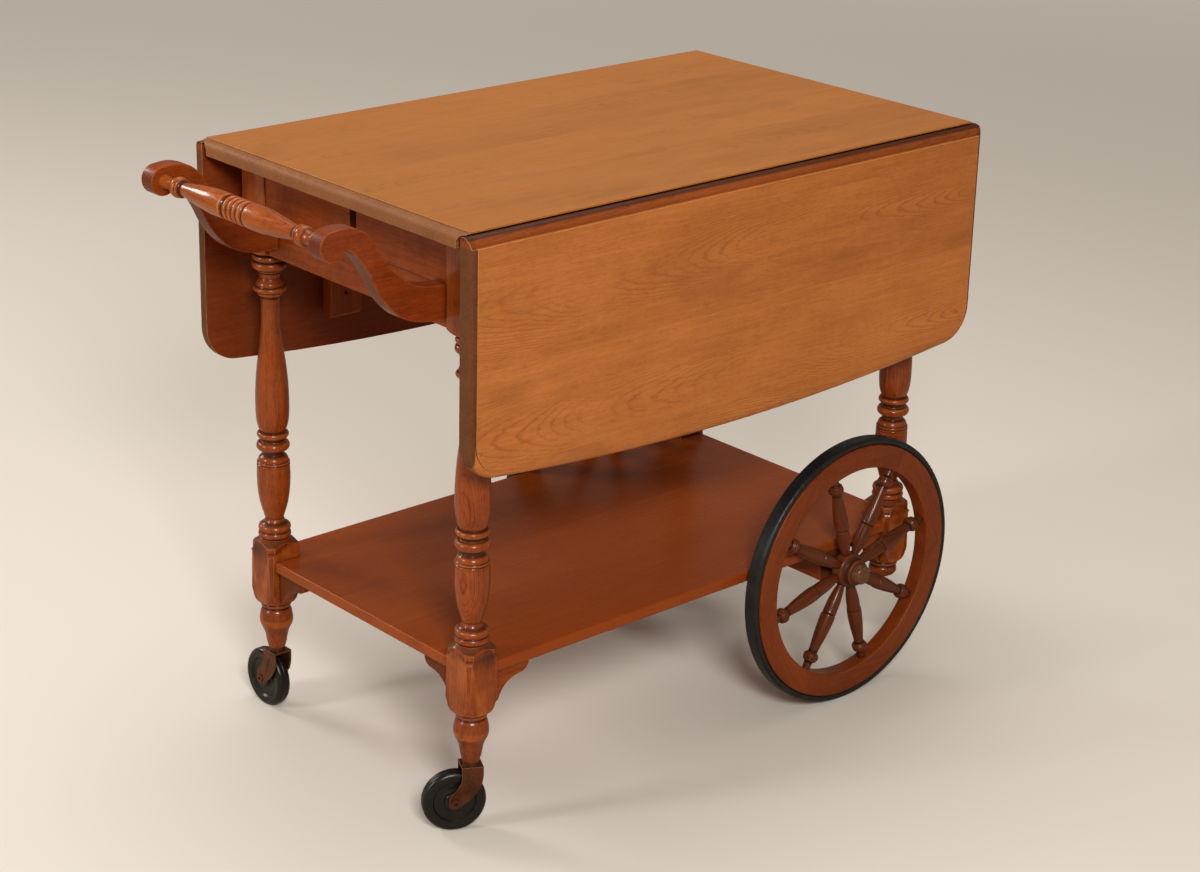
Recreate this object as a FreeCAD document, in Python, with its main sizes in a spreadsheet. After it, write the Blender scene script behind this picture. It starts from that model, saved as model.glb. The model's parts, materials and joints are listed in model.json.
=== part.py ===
import FreeCAD, Part
import math
import os
import Sketcher

# A drop leaf tea trolley: a turned frame on two spoked wheels and two casters.
# X runs along the length (handle at -X), Y across (the near side at -Y), Z up from the floor.
# Lengths are millimetres.  The rail, leg and leaf shapes are worked out from the sizes below.

SIZES = [
    ("table_height", 737.0, "floor to the top surface"),
    ("board", 19.0, "thickness of the top and the leaves"),
    ("top_length", 810.0, "length of the top and of each leaf"),
    ("top_width", 488.0, "width of the fixed top, lip to lip"),
    ("edge_round", 8.4, "ovolo moulding round the outer edges"),
    ("edge_step", 1.6, "square step above the ovolo"),
    ("edge_inset", 9.0, "square step, in from the outer edge"),
    ("lip", 3.0, "square lip above the cove of the rule joint"),
    ("cove_radius", 12.0, "cove of the rule joint, centred on the hinge pin"),
    ("joint_gap", 0.8, "play between the cove and the rounded leaf edge"),
    ("leaf_drop", 284.0, "hinge pin to the lowest point of a hanging leaf"),
    ("leaf_bow", 3460.0, "radius of the leaf's bowed outer edge"),
    ("leaf_corner", 45.0, "radius of the leaf's outer corners"),
    ("leg_square", 44.5, "side of the leg's square blocks"),
    ("leg_easing", 1.6, "eased arris of the square blocks"),
    ("leg_pitch_long", 692.0, "leg centres along X"),
    ("leg_pitch_wide", 384.6, "leg centres along Y"),
    ("front_foot", 87.4, "foot of the two legs that carry casters"),
    ("rear_foot", 124.0, "tip of the two legs beside the wheels"),
    ("rail_bottom", 604.0, "underside of the rails"),
    ("rail_thick", 19.0, "thickness of the rails"),
    ("rail_setback", 6.0, "rails stand back from the leg faces"),
    ("end_rail_top", 652.0, "joint between the lower and upper end rails"),
    ("slot_width", 12.0, "slot in the upper end rail"),
    ("slot_bottom", 664.0, "lowest point of the slot"),
    ("shelf_top", 210.6, "top face of the lower shelf"),
    ("shelf_thick", 14.5, "thickness of the lower shelf"),
    ("shelf_length", 722.0, "length of the lower shelf"),
    ("shelf_width", 420.0, "width of the lower shelf"),
    ("arm_offset", 159.0, "middle of a handle arm from the centre line"),
    ("arm_thick", 22.0, "thickness of a handle arm"),
    ("scroll_radius", 17.0, "scroll at the end of a handle arm"),
    ("scroll_reach", 515.0, "scroll centre from the middle of the top"),
    ("scroll_height", 724.0, "scroll centre above the floor"),
    ("wheel_place", 237.0, "wheel axle from the middle of the top"),
    ("wheel_radius", 175.5, "wheel over the tyre"),
    ("rim_outer", 167.3, "wooden rim, outside radius"),
    ("rim_inner", 137.0, "wooden rim, inside radius"),
    ("rim_thick", 22.0, "width of the rim"),
    ("wheel_plane", 229.5, "middle of the rim from the centre line"),
    ("spoke_count", 8.0, "turned spokes in a wheel"),
    ("spoke_phase", 15.0, "angle of the first spoke, degrees"),
    ("axle_radius", 6.0, "steel axle"),
    ("caster_radius", 37.0, "caster wheel"),
    ("caster_trail", 20.0, "caster axle behind its stem"),
    ("prop_place", 220.0, "middle of a leaf prop from the middle of the top"),
    ("prop_width", 45.0, "leaf prop along the trolley"),
    ("prop_thick", 18.0, "leaf prop across"),
    ("prop_pivot_height", 640.0, "pivot pin of a leaf prop"),
    ("prop_length", 150.0, "pivot pin to the free end of the prop"),
    ("hinge_length", 40.0, "steel rule joint hinge"),
    ("hinge_place", 300.0, "outer hinges from the middle of the top"),
    ("pin_radius", 1.5, "hinge pin"),
]

doc = FreeCAD.newDocument("tea_trolley")
sheet = doc.addObject("Spreadsheet::Sheet", "sizes")
for row, (alias, value, meaning) in enumerate(SIZES, start=1):
    sheet.set(f"A{row}", meaning)
    sheet.set(f"B{row}", str(value))
    sheet.setAlias(f"B{row}", alias)
doc.recompute()


class Sizes:
    """The numbers of the sheet, by alias."""

    def __getattr__(self, alias):
        return float(sheet.get(alias))


S = Sizes()
nodes = []

TOP_UNDERSIDE = S.table_height - S.board
PIN_HEIGHT = S.table_height - S.lip - S.cove_radius
PIN_OFFSET = S.top_width / 2
LEAF_FACE = S.lip + S.cove_radius
LEAF_BACK = LEAF_FACE - S.board
HALF_LEG = S.leg_square / 2
LEG_X = S.leg_pitch_long / 2
LEG_Y = S.leg_pitch_wide / 2
LEG_FACE_X = LEG_X + HALF_LEG
LEG_FACE_Y = LEG_Y + HALF_LEG
RAIL_FACE_X = LEG_FACE_X - S.rail_setback
RAIL_FACE_Y = LEG_FACE_Y - S.rail_setback
SHELF_UNDERSIDE = S.shelf_top - S.shelf_thick
SIDES = {"near": -1, "far": 1}
ENDS = {"front": -1, "rear": 1}
TURN_OUT = 33.0
# The row's origin lies midway between the scroll's tip and the back of the wheels.
SHIFT = (S.scroll_reach + S.scroll_radius - S.wheel_place - S.wheel_radius) / 2


def vec(x=0.0, y=0.0, z=0.0):
    return FreeCAD.Vector(x, y, z)


def put(obj, x=0.0, y=0.0, z=0.0, turn=0.0, axis=(0, 0, 1)):
    """Move an object from where it was made to its place, turned about one axis."""
    move = FreeCAD.Placement(vec(x + SHIFT, y, z), FreeCAD.Rotation(vec(*axis), turn))
    obj.Placement = move.multiply(obj.Placement)
    return obj


def node(obj, label):
    """Name a finished sub-part; its label names its file."""
    obj.Label = label
    nodes.append(obj)
    return obj


def feature(label, shape):
    """A sub-part whose shape is made directly with Part's functions."""
    obj = doc.addObject("Part::Feature", label)
    obj.Shape = shape
    return node(obj, label)


def new_body(label):
    return doc.addObject("PartDesign::Body", label)


def sketch_on(body, name, role, offset=0.0):
    """A sketch on one of the body's own origin planes."""
    sketch = body.newObject("Sketcher::SketchObject", name)
    plane = next(item for item in body.Origin.OriginFeatures if item.Role == role)
    sketch.AttachmentSupport = (plane, [""])
    sketch.MapMode = "FlatFace"
    sketch.AttachmentOffset = FreeCAD.Placement(vec(0, 0, offset), FreeCAD.Rotation())
    return sketch


def draw(sketch, start, steps):
    """Draw a closed outline.  A step is a point, or (through, point) for an arc."""
    here = start
    for step in steps + [start]:
        is_arc = isinstance(step[0], tuple)
        there = step[1] if is_arc else step
        if math.dist(here, there) < 1e-6:
            continue
        if is_arc:
            arc = Part.Arc(vec(*here), vec(*step[0]), vec(*there))
            sketch.addGeometry(arc, False)
        else:
            sketch.addGeometry(Part.LineSegment(vec(*here), vec(*there)), False)
        here = there


def circle(sketch, x, y, radius, expression=None):
    """Draw a circle; with an expression its radius is bound to the sheet."""
    index = sketch.addGeometry(Part.Circle(vec(x, y), vec(0, 0, 1), radius), False)
    if expression:
        rule = sketch.addConstraint(Sketcher.Constraint("Radius", index, radius))
        sketch.setExpression(f"Constraints[{rule}]", expression)


def pad(body, name, sketch, length, middle=False, backwards=False):
    """Pad a sketch; the length is a number or an expression on the sheet."""
    made = body.newObject("PartDesign::Pad", name)
    made.Profile = sketch
    if isinstance(length, str):
        made.setExpression("Length", length)
    else:
        made.Length = length
    made.Midplane = middle
    made.Reversed = backwards
    return made


def pocket(body, name, sketch, length):
    """Cut a sketch both ways from its plane."""
    made = body.newObject("PartDesign::Pocket", name)
    made.Profile = sketch
    made.Length = length
    made.Midplane = True
    return made


def turned_steps(stations):
    """Stations (height, radius, swell) as steps: a swell bows the stretch outwards."""
    steps = []
    height, radius = stations[0][:2]
    for station in stations[1:]:
        next_height, next_radius = station[:2]
        swell = station[2] if len(station) > 2 else 0.0
        end = (next_radius, next_height)
        if swell:
            run = math.dist((radius, height), end)
            side = 1 if next_height < height else -1
            across = side * (height - next_height) / run
            along = side * (next_radius - radius) / run
            middle = ((radius + next_radius) / 2 + across * swell,
                      (height + next_height) / 2 + along * swell)
            steps.append((middle, end))
        else:
            steps.append(end)
        height, radius = next_height, next_radius
    return steps


def turned_body(label, stations):
    """A solid of revolution about Z, from stations that end on the axis or close to it."""
    body = new_body(label)
    sketch = sketch_on(body, label + "_profile", "XZ_Plane")
    first, last = stations[0], stations[-1]
    steps = [(first[1], first[0])] + turned_steps(stations) + [(0.0, last[0])]
    draw(sketch, (0.0, first[0]), steps)
    made = body.newObject("PartDesign::Revolution", label + "_turned")
    made.Profile = sketch
    made.ReferenceAxis = (sketch, ["V_Axis"])
    made.Angle = 360
    return body


def turn_down(body, name, stations):
    """Cut a turned profile into a square blank, as a lathe does."""
    sketch = sketch_on(body, name + "_profile", "XZ_Plane")
    first, last = stations[0], stations[-1]
    start = (TURN_OUT, first[0])
    steps = [(first[1], first[0])] + turned_steps(stations) + [(TURN_OUT, last[0])]
    draw(sketch, start, steps)
    made = body.newObject("PartDesign::Groove", name)
    made.Profile = sketch
    made.ReferenceAxis = (sketch, ["V_Axis"])
    made.Angle = 360
    return made


def plain_box(label, low, high):
    """A board whose corners are given in the trolley's frame."""
    obj = doc.addObject("Part::Box", label)
    obj.Length, obj.Width, obj.Height = (b - a for a, b in zip(low, high))
    return put(obj, *low)


def rod_x(radius, x_low, x_high, y=0.0, z=0.0):
    return Part.makeCylinder(radius, x_high - x_low, vec(x_low, y, z), vec(1, 0, 0))


def block(x_low, y_low, z_low, x_high, y_high, z_high):
    size = (x_high - x_low, y_high - y_low, z_high - z_low)
    return Part.makeBox(*size, vec(x_low, y_low, z_low))


def prism(points, thickness, middle, normal_axis):
    """A flat outline of points and (through, point) arcs, padded evenly about its plane."""
    edges = []
    here = points[0]
    for step in points[1:] + [points[0]]:
        is_arc = isinstance(step[0], tuple)
        there = step[1] if is_arc else step
        if math.dist(here, there) < 1e-6:
            continue
        ends = [to_space(p, normal_axis, middle - thickness / 2)
                for p in ((here, step[0], there) if is_arc else (here, there))]
        edges.append(Part.Arc(*ends).toShape() if is_arc else Part.LineSegment(*ends).toShape())
        here = there
    face = Part.Face(Part.Wire(edges))
    return face.extrude(to_space((0.0, 0.0), normal_axis, thickness))


def to_space(point, normal_axis, height):
    if normal_axis == "Y":
        return vec(point[0], height, point[1])
    return vec(height, point[0], point[1])


# ---- legs ------------------------------------------------------------------------------

# Heights above the floor, radii and swells of the turned stretch between the square blocks.
UPPER_CAP = [
    (609.0, TURN_OUT), (602.0, 22.4, 1.2), (600.2, 17.2), (599.4, 17.4), (591.4, 18.0, 3.2),
    (590.8, 18.0), (580.2, 16.4, 4.2), (579.8, 15.2), (577.6, 15.2), (576.6, 12.8), (569.0, 12.5),
]
UPPER_COLLAR = [
    (565.5, 14.8), (561.5, 16.8, 0.4), (559.6, 17.2), (559.2, 17.6), (552.6, 17.2, 2.8),
    (552.2, 15.6), (548.4, 15.4), (547.4, 13.6), (545.5, 11.9),
]
UPPER_VASE = [
    (537.0, 11.5), (520.0, 11.6), (500.0, 12.9, -0.3), (470.0, 16.2, -0.2), (450.0, 18.6, 0.2),
    (430.0, 20.0, 0.2), (410.0, 20.5, 0.2), (395.0, 20.1, 0.2), (385.0, 18.9, 0.2),
    (376.5, 16.2, 0.3), (375.4, 14.6), (374.4, 14.6),
]
WAIST_RINGS = [
    (374.0, 17.2), (366.4, 16.4, 2.6), (366.2, 13.6), (362.8, 13.6), (362.4, 14.8), (361.2, 14.8),
    (361.0, 17.6), (350.2, 16.4, 3.4), (350.0, 13.6), (345.0, 13.4), (344.0, 13.8),
    (337.0, 18.6, 1.2), (336.2, 18.4), (335.6, 19.7), (333.4, 19.8, 0.4), (332.8, 19.2),
    (332.2, 19.9), (330.4, 20.1, 0.3), (329.8, 19.7),
]
LOWER_VASE = [
    (328.5, 20.2), (312.0, 20.5, 0.1), (300.0, 19.8, 0.1), (290.0, 18.6, 0.1), (280.0, 16.9, 0.1),
    (270.0, 14.0, 0.1), (262.5, 11.6, 0.1), (261.0, 11.2),
]
LOWER_CAP = [
    (260.4, 11.6), (252.8, 18.2, -1.2), (244.6, 18.2, 1.8), (244.2, 18.4), (236.6, 18.6, 1.7),
    (236.2, 17.8), (235.8, 19.0), (234.9, 19.6), (227.8, 30.0, -1.0), (226.6, TURN_OUT),
]
LEG_TURNING = UPPER_CAP + UPPER_COLLAR + UPPER_VASE + WAIST_RINGS + LOWER_VASE + LOWER_CAP
# Below the shelf both feet start with the same bell and bead.
FOOT_BELL = [
    (184.0, TURN_OUT), (171.0, 30.2), (160.0, 27.8, 0.3), (151.8, 24.6, 0.5), (149.8, 20.4, 0.3),
    (149.2, 16.8), (142.4, 16.8, 2.0), (142.0, 15.8),
]
FRONT_FOOT = FOOT_BELL + [
    (141.6, 16.0), (133.0, 19.7, 0.9), (125.0, 20.7, 0.3), (117.0, 18.8, 0.6), (110.5, 15.8, -0.1),
    (104.0, 14.0, -0.2), (94.0, 12.3), (88.4, 10.8), (S.front_foot - 1.0, 10.6),
]
REAR_FOOT = FOOT_BELL + [
    (141.4, 16.0), (135.5, 18.2, 0.7), (128.5, 14.0, 1.2), (S.rear_foot, 4.0, 0.8),
    (S.rear_foot - 1.0, 0.5),
]
# A chamfer runs broad and deep over the turning's last ring, ends in a crescent lip, and goes on
# narrower down the block.  Its points are (depth in from the sharp arris, height).
CHAMFER_TOP = 232.0
CHAMFER_BROAD = (4.6, 221.5)
CHAMFER_CRESCENT = (3.4, 218.3)
CHAMFER_LIP = (1.4, 216.4)
CHAMFER_STEP = (3.2, 215.8)
CHAMFER_TAPER = (2.0, 166.5)
CHAMFER_BOTTOM = 165.0
CHAMFER_CUT = 20.0


def make_leg(label, x, y, foot_height, foot_turning):
    """A square blank turned between its blocks, three arrises stop-chamfered."""
    body = new_body(label)
    corner = HALF_LEG * math.sqrt(2)
    ease = S.leg_easing / math.sqrt(2)
    blank = sketch_on(body, label + "_square", "XY_Plane", foot_height)
    square = []
    for quarter in range(4):
        angle = math.radians(90 * quarter)
        for side in (-1, 1):
            along, across = corner - ease, side * ease
            square.append((along * math.cos(angle) - across * math.sin(angle),
                           along * math.sin(angle) + across * math.cos(angle)))
    draw(blank, square[0], square[1:])
    pad(body, label + "_blank", blank, f"sizes.table_height - sizes.board - {foot_height}")
    turn_down(body, label + "_column", LEG_TURNING)
    turn_down(body, label + "_foot", foot_turning)
    chamfer = sketch_on(body, label + "_chamfer", "XZ_Plane")

    def inside(point):
        return (corner - point[0], point[1])

    beyond = corner + 1.0
    draw(chamfer, (beyond, CHAMFER_TOP), [
        inside((CHAMFER_BROAD[0], CHAMFER_TOP)), inside(CHAMFER_BROAD),
        (inside(CHAMFER_CRESCENT), inside(CHAMFER_LIP)), inside(CHAMFER_STEP),
        inside(CHAMFER_TAPER), (beyond, CHAMFER_BOTTOM)])
    cut = pocket(body, label + "_arris", chamfer, CHAMFER_CUT)
    pattern = body.newObject("PartDesign::PolarPattern", label + "_arrises")
    pattern.Originals = [cut]
    pattern.Axis = (chamfer, ["V_Axis"])
    pattern.Angle = 180
    pattern.Occurrences = 3
    body.Tip = pattern
    outward = math.degrees(math.atan2(math.copysign(1, y), math.copysign(1, x)))
    return node(put(body, x, y, 0, outward - 90), label)


for end, end_sign in ENDS.items():
    foot = (S.front_foot, FRONT_FOOT) if end == "front" else (S.rear_foot, REAR_FOOT)
    for side, side_sign in SIDES.items():
        make_leg(f"leg_{end}_{side}", end_sign * LEG_X, side_sign * LEG_Y, *foot)


# ---- rails -----------------------------------------------------------------------------

INNER_LEG_X = LEG_X - HALF_LEG
INNER_LEG_Y = LEG_Y - HALF_LEG

for side, side_sign in SIDES.items():
    face = side_sign * RAIL_FACE_Y
    back = face - side_sign * S.rail_thick
    low_y, high_y = min(face, back), max(face, back)
    rail = plain_box(f"side_rail_{side}", (-INNER_LEG_X, low_y, S.rail_bottom),
                     (INNER_LEG_X, high_y, TOP_UNDERSIDE))
    rail.setExpression("Width", "sizes.rail_thick")
    rail.setExpression("Height", "sizes.table_height - sizes.board - sizes.rail_bottom")
    rail.setExpression("Length", "sizes.leg_pitch_long - sizes.leg_square")
    node(rail, f"side_rail_{side}")

lower_end = plain_box("end_rail_lower", (-RAIL_FACE_X, -INNER_LEG_Y, S.rail_bottom),
                      (-RAIL_FACE_X + S.rail_thick, INNER_LEG_Y, S.end_rail_top))
lower_end.setExpression("Length", "sizes.rail_thick")
lower_end.setExpression("Height", "sizes.end_rail_top - sizes.rail_bottom")
node(lower_end, "end_rail_lower")

wheel_end = plain_box("end_rail_wheels", (RAIL_FACE_X - S.rail_thick, -INNER_LEG_Y, S.rail_bottom),
                      (RAIL_FACE_X, INNER_LEG_Y, TOP_UNDERSIDE))
wheel_end.setExpression("Length", "sizes.rail_thick")
wheel_end.setExpression("Height", "sizes.table_height - sizes.board - sizes.rail_bottom")
node(wheel_end, "end_rail_wheels")

# The upper end rail stands a little proud of the lower one, its lower arris rounded over,
# with a slot down from the top at the middle.
UPPER_PROUD = 3.0
UPPER_ARRIS = 3.0
upper = new_body("end_rail_upper")
upper_section = sketch_on(upper, "end_rail_upper_section", "XZ_Plane")
upper_face = -RAIL_FACE_X - UPPER_PROUD
upper_back = upper_face + S.rail_thick
bend = UPPER_ARRIS * (1 - math.sqrt(0.5))
draw(upper_section, (upper_back, S.end_rail_top), [
    (upper_back, TOP_UNDERSIDE), (upper_face, TOP_UNDERSIDE),
    (upper_face, S.end_rail_top + UPPER_ARRIS),
    ((upper_face + bend, S.end_rail_top + bend), (upper_face + UPPER_ARRIS, S.end_rail_top))])
pad(upper, "end_rail_upper_board", upper_section, "sizes.leg_pitch_wide - sizes.leg_square", middle=True)
slot = sketch_on(upper, "end_rail_upper_slot_outline", "YZ_Plane")
half_slot = S.slot_width / 2
slot_foot = S.slot_bottom + half_slot
draw(slot, (-half_slot, TOP_UNDERSIDE + 1), [
    (-half_slot, slot_foot), ((0.0, S.slot_bottom), (half_slot, slot_foot)),
    (half_slot, TOP_UNDERSIDE + 1)])
pocket(upper, "end_rail_upper_slot", slot, 2 * S.top_length)
node(put(upper), "end_rail_upper")

# Glue blocks in the four inner corners of the frame.
GLUE_BLOCK = 38.0
GLUE_DROP = 60.0
blocks = []
for end_sign in ENDS.values():
    for side_sign in SIDES.values():
        corner_x = end_sign * INNER_LEG_X
        corner_y = side_sign * (RAIL_FACE_Y - S.rail_thick)
        points = [vec(corner_x, corner_y), vec(corner_x - end_sign * GLUE_BLOCK, corner_y),
                  vec(corner_x, corner_y - side_sign * GLUE_BLOCK)]
        face = Part.Face(Part.makePolygon(points + points[:1]))
        solid = face.extrude(vec(0, 0, GLUE_DROP))
        solid.translate(vec(0, 0, TOP_UNDERSIDE - GLUE_DROP))
        blocks.append(solid)
put(feature("glue_blocks", Part.makeCompound(blocks)))


# ---- top -------------------------------------------------------------------------------

top = new_body("top_panel")
section = sketch_on(top, "top_section", "YZ_Plane")
half = S.top_width / 2
lip_bottom = S.table_height - S.lip
cove_side = S.cove_radius * math.sqrt(0.5)
draw(section, (-half, S.table_height), [
    (half, S.table_height), (half, lip_bottom),
    ((half - cove_side, PIN_HEIGHT + cove_side), (half - S.cove_radius, PIN_HEIGHT)),
    (half - S.cove_radius, TOP_UNDERSIDE), (-half + S.cove_radius, TOP_UNDERSIDE),
    (-half + S.cove_radius, PIN_HEIGHT),
    ((-half + cove_side, PIN_HEIGHT + cove_side), (-half, lip_bottom))])
pad(top, "top_board", section, "sizes.top_length", middle=True)
for end, end_sign in ENDS.items():
    waste = sketch_on(top, f"top_ovolo_{end}_outline", "XZ_Plane")
    tip = end_sign * S.top_length / 2
    step_x = tip - end_sign * S.edge_inset
    crown = tip - end_sign * S.edge_round
    step_height = S.table_height - S.edge_step
    foot_height = step_height - S.edge_round
    shoulder = S.edge_round * math.sqrt(0.5)
    beyond = tip + end_sign * 2
    draw(waste, (step_x, step_height), [
        (crown, step_height),
        ((crown + end_sign * shoulder, foot_height + shoulder), (tip, foot_height)),
        (beyond, foot_height), (beyond, S.table_height + 1), (step_x, S.table_height + 1)])
    pocket(top, f"top_ovolo_{end}", waste, 2 * S.top_width)
node(put(top), "top_panel")


# ---- leaves and hinges, modelled about the hinge pin with the leaf hanging ----------------

RECESS_RADIUS = 7.0
STEP_BELOW_PIN = 0.5
HINGES = [-S.hinge_place, 0.0, S.hinge_place]


def draw_leaf(sketch, inset):
    """The leaf's outline, drawn in by an inset along its ends and its bowed lower edge."""
    half_length = S.top_length / 2 - inset
    crown = S.cove_radius
    corner = S.leaf_corner - inset
    bow = S.leaf_bow - inset
    bow_centre = S.leaf_bow - S.leaf_drop
    corner_x = half_length - corner
    corner_z = bow_centre - math.sqrt((bow - corner) ** 2 - corner_x ** 2)
    pull = bow / (bow - corner)
    bow_end = (corner_x * pull, bow_centre - (bow_centre - corner_z) * pull)
    middle_angle = (math.atan2(corner_z - bow_centre, corner_x)) / 2
    corner_mid = (corner_x + corner * math.cos(middle_angle),
                  corner_z + corner * math.sin(middle_angle))
    draw(sketch, (-half_length, crown), [
        (half_length, crown), (half_length, corner_z), (corner_mid, bow_end),
        ((0.0, inset - S.leaf_drop), (-bow_end[0], bow_end[1])),
        ((-corner_mid[0], corner_mid[1]), (-half_length, corner_z))])


def make_leaf(label, side_sign):
    body = new_body(label)
    plan = sketch_on(body, label + "_plan", "XZ_Plane", -LEAF_BACK)
    draw_leaf(plan, 0.0)
    board = pad(body, label + "_board", plan, "sizes.board - sizes.edge_step", backwards=True)
    doc.recompute()
    board_face = LEAF_FACE - S.edge_step
    face_edges = []
    for index, edge in enumerate(board.Shape.Edges, start=1):
        box = edge.BoundBox
        on_face = abs(box.YMin - board_face) < 0.01 and abs(box.YMax - board_face) < 0.01
        if on_face and box.ZMin < S.cove_radius - 1.0:
            face_edges.append(f"Edge{index}")
    ovolo = body.newObject("PartDesign::Fillet", label + "_ovolo")
    ovolo.Base = (board, face_edges)
    ovolo.setExpression("Radius", "sizes.edge_round")
    # the field stands a step above the moulding on three sides
    field_plan = sketch_on(body, label + "_field_plan", "XZ_Plane", -LEAF_BACK)
    draw_leaf(field_plan, S.edge_inset)
    pad(body, label + "_field", field_plan, "sizes.board", backwards=True)
    crown = S.cove_radius
    waste = sketch_on(body, label + "_rule_outline", "YZ_Plane")
    radius = S.cove_radius - S.joint_gap
    far_out = LEAF_FACE + 5
    back_out = LEAF_BACK - 2
    back_height = math.sqrt(radius ** 2 - back_out ** 2)
    draw(waste, (back_out, crown + 5), [
        (far_out, crown + 5), (far_out, -STEP_BELOW_PIN), (radius, -STEP_BELOW_PIN), (radius, 0.0),
        ((radius * math.sqrt(0.5), radius * math.sqrt(0.5)), (back_out, back_height))])
    pocket(body, label + "_rule_joint", waste, 2 * S.top_length)
    for index, place in enumerate(HINGES):
        recess = sketch_on(body, f"{label}_recess_{index}_outline", "YZ_Plane", place)
        circle(recess, 0, 0, RECESS_RADIUS)
        pocket(body, f"{label}_recess_{index}", recess, S.hinge_length + 1)
    turn = 0 if side_sign > 0 else 180
    return node(put(body, 0, side_sign * PIN_OFFSET, PIN_HEIGHT, turn), label)


PLATE_THICK = 1.6
PLATE_REACH = 34.0
PLATE_START = 12.0
STRAP_DROP = 0.4
KNUCKLE_RADIUS = 3.2
KNUCKLE_HALF = 9.8
KNUCKLE_PLAY = 0.3
PIN_PLAY = 0.05


def strap(x_low, x_high, bore):
    """One hinge knuckle with the strap that joins it to a plate lying under the top."""
    top, bottom = LEAF_BACK - STRAP_DROP, LEAF_BACK - PLATE_THICK
    outline = [vec(0, -PLATE_START - 1, bottom), vec(0, -PLATE_START - 1, top),
               vec(0, -5.2, top), vec(0, -2.4, 0.4), vec(0, 1.0, -2.4), vec(0, -5.6, bottom)]
    face = Part.Face(Part.makePolygon(outline + outline[:1]))
    bar = face.extrude(vec(x_high - x_low, 0, 0))
    bar.translate(vec(x_low, 0, 0))
    knuckle = bar.fuse(rod_x(KNUCKLE_RADIUS, x_low, x_high))
    return knuckle.cut(rod_x(bore, x_low - 1, x_high + 1))


def hinge_half(place, spans, bore):
    """A hinge plate in the plane of a raised leaf's underside, with its knuckles."""
    half_length = S.hinge_length / 2
    plate = block(-half_length, -PLATE_REACH, LEAF_BACK - PLATE_THICK,
                  half_length, -PLATE_START, LEAF_BACK)
    for low, high in spans:
        plate = plate.fuse(strap(low, high, bore))
    plate.translate(vec(place, 0, 0))
    return plate.removeSplitter()


def make_hinges(side, side_sign):
    half_length = S.hinge_length / 2
    middle_span = [(-KNUCKLE_HALF, KNUCKLE_HALF)]
    edge = KNUCKLE_HALF + KNUCKLE_PLAY
    outer_spans = [(-half_length, -edge), (edge, half_length)]
    fixed = [hinge_half(place, middle_span, S.pin_radius) for place in HINGES]
    flaps = [hinge_half(place, outer_spans, S.pin_radius + PIN_PLAY) for place in HINGES]
    for flap in flaps:
        # mirror to the leaf's side, then swing down with the hanging leaf
        flap.rotate(vec(), vec(0, 0, 1), 180)
        flap.rotate(vec(), vec(1, 0, 0), -90)
    pins = [rod_x(S.pin_radius, place - half_length, place + half_length) for place in HINGES]
    turn = 0 if side_sign > 0 else 180
    for name, solids in (("hinge_plates", fixed), ("hinge_flaps", flaps), ("hinge_pins", pins)):
        made = feature(f"{name}_{side}", Part.makeCompound(solids))
        put(made, 0, side_sign * PIN_OFFSET, PIN_HEIGHT, turn)


for side, side_sign in SIDES.items():
    make_leaf(f"leaf_{side}", side_sign)
    make_hinges(side, side_sign)


# ---- leaf props, each hung on a pin between two cheeks on the side rail --------------------

PROP_CENTRE_Y = RAIL_FACE_Y + 2.6 + S.prop_thick / 2
CHEEK_THICK = 5.0
CHEEK_HALF = 12.0
CHEEK_REACH = 19.0
PROP_PIN_RADIUS = 3.0
PROP_PLAY = 0.4
CATCH_PLATE = 1.2
CATCH_LIP = 2.4
TOE_HOLE_RADIUS = 2.6
TOE_HOLE_HEIGHT = 30.0


def make_prop(label, place, side_sign):
    """A wooden arm, rounded about its pivot, with a small hole above its free end."""
    body = new_body(label)
    outline = sketch_on(body, label + "_outline", "YZ_Plane")
    radius = S.prop_thick / 2
    toe = -S.prop_length
    draw(outline, (-radius, 0.0), [
        ((0.0, radius), (radius, 0.0)), (radius, toe + 3), (radius - 3, toe),
        (-radius + 3, toe), (-radius, toe + 3)])
    pad(body, label + "_arm", outline, "sizes.prop_width", middle=True)
    bore = sketch_on(body, label + "_bore_outline", "YZ_Plane")
    circle(bore, 0, 0, PROP_PIN_RADIUS + PIN_PLAY)
    pocket(body, label + "_bore", bore, 2 * S.prop_width)
    hole = sketch_on(body, label + "_toe_hole_outline", "XZ_Plane")
    circle(hole, 0, toe + TOE_HOLE_HEIGHT, TOE_HOLE_RADIUS)
    pocket(body, label + "_toe_hole", hole, 2 * S.prop_thick)
    return node(put(body, place, side_sign * PROP_CENTRE_Y, S.prop_pivot_height), label)


def cheek(place, side_sign):
    """A small wooden cheek on the rail, rounded at its outer end about the pin."""
    rail_y = side_sign * RAIL_FACE_Y
    pin_y = side_sign * PROP_CENTRE_Y
    height = S.prop_pivot_height
    solid = block(place - CHEEK_THICK / 2, min(rail_y, pin_y), height - CHEEK_HALF,
                  place + CHEEK_THICK / 2, max(rail_y, pin_y), height + CHEEK_HALF)
    nose = Part.makeCylinder(CHEEK_HALF, CHEEK_THICK, vec(place - CHEEK_THICK / 2, pin_y, height),
                             vec(1, 0, 0))
    keep = block(place - CHEEK_THICK, min(rail_y, rail_y + side_sign * CHEEK_REACH),
                 height - CHEEK_HALF, place + CHEEK_THICK,
                 max(rail_y, rail_y + side_sign * CHEEK_REACH), height + CHEEK_HALF)
    whole = solid.fuse(nose).common(keep)
    hole = rod_x(PROP_PIN_RADIUS, place - CHEEK_THICK, place + CHEEK_THICK, pin_y, height)
    return whole.cut(hole).removeSplitter()


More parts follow.
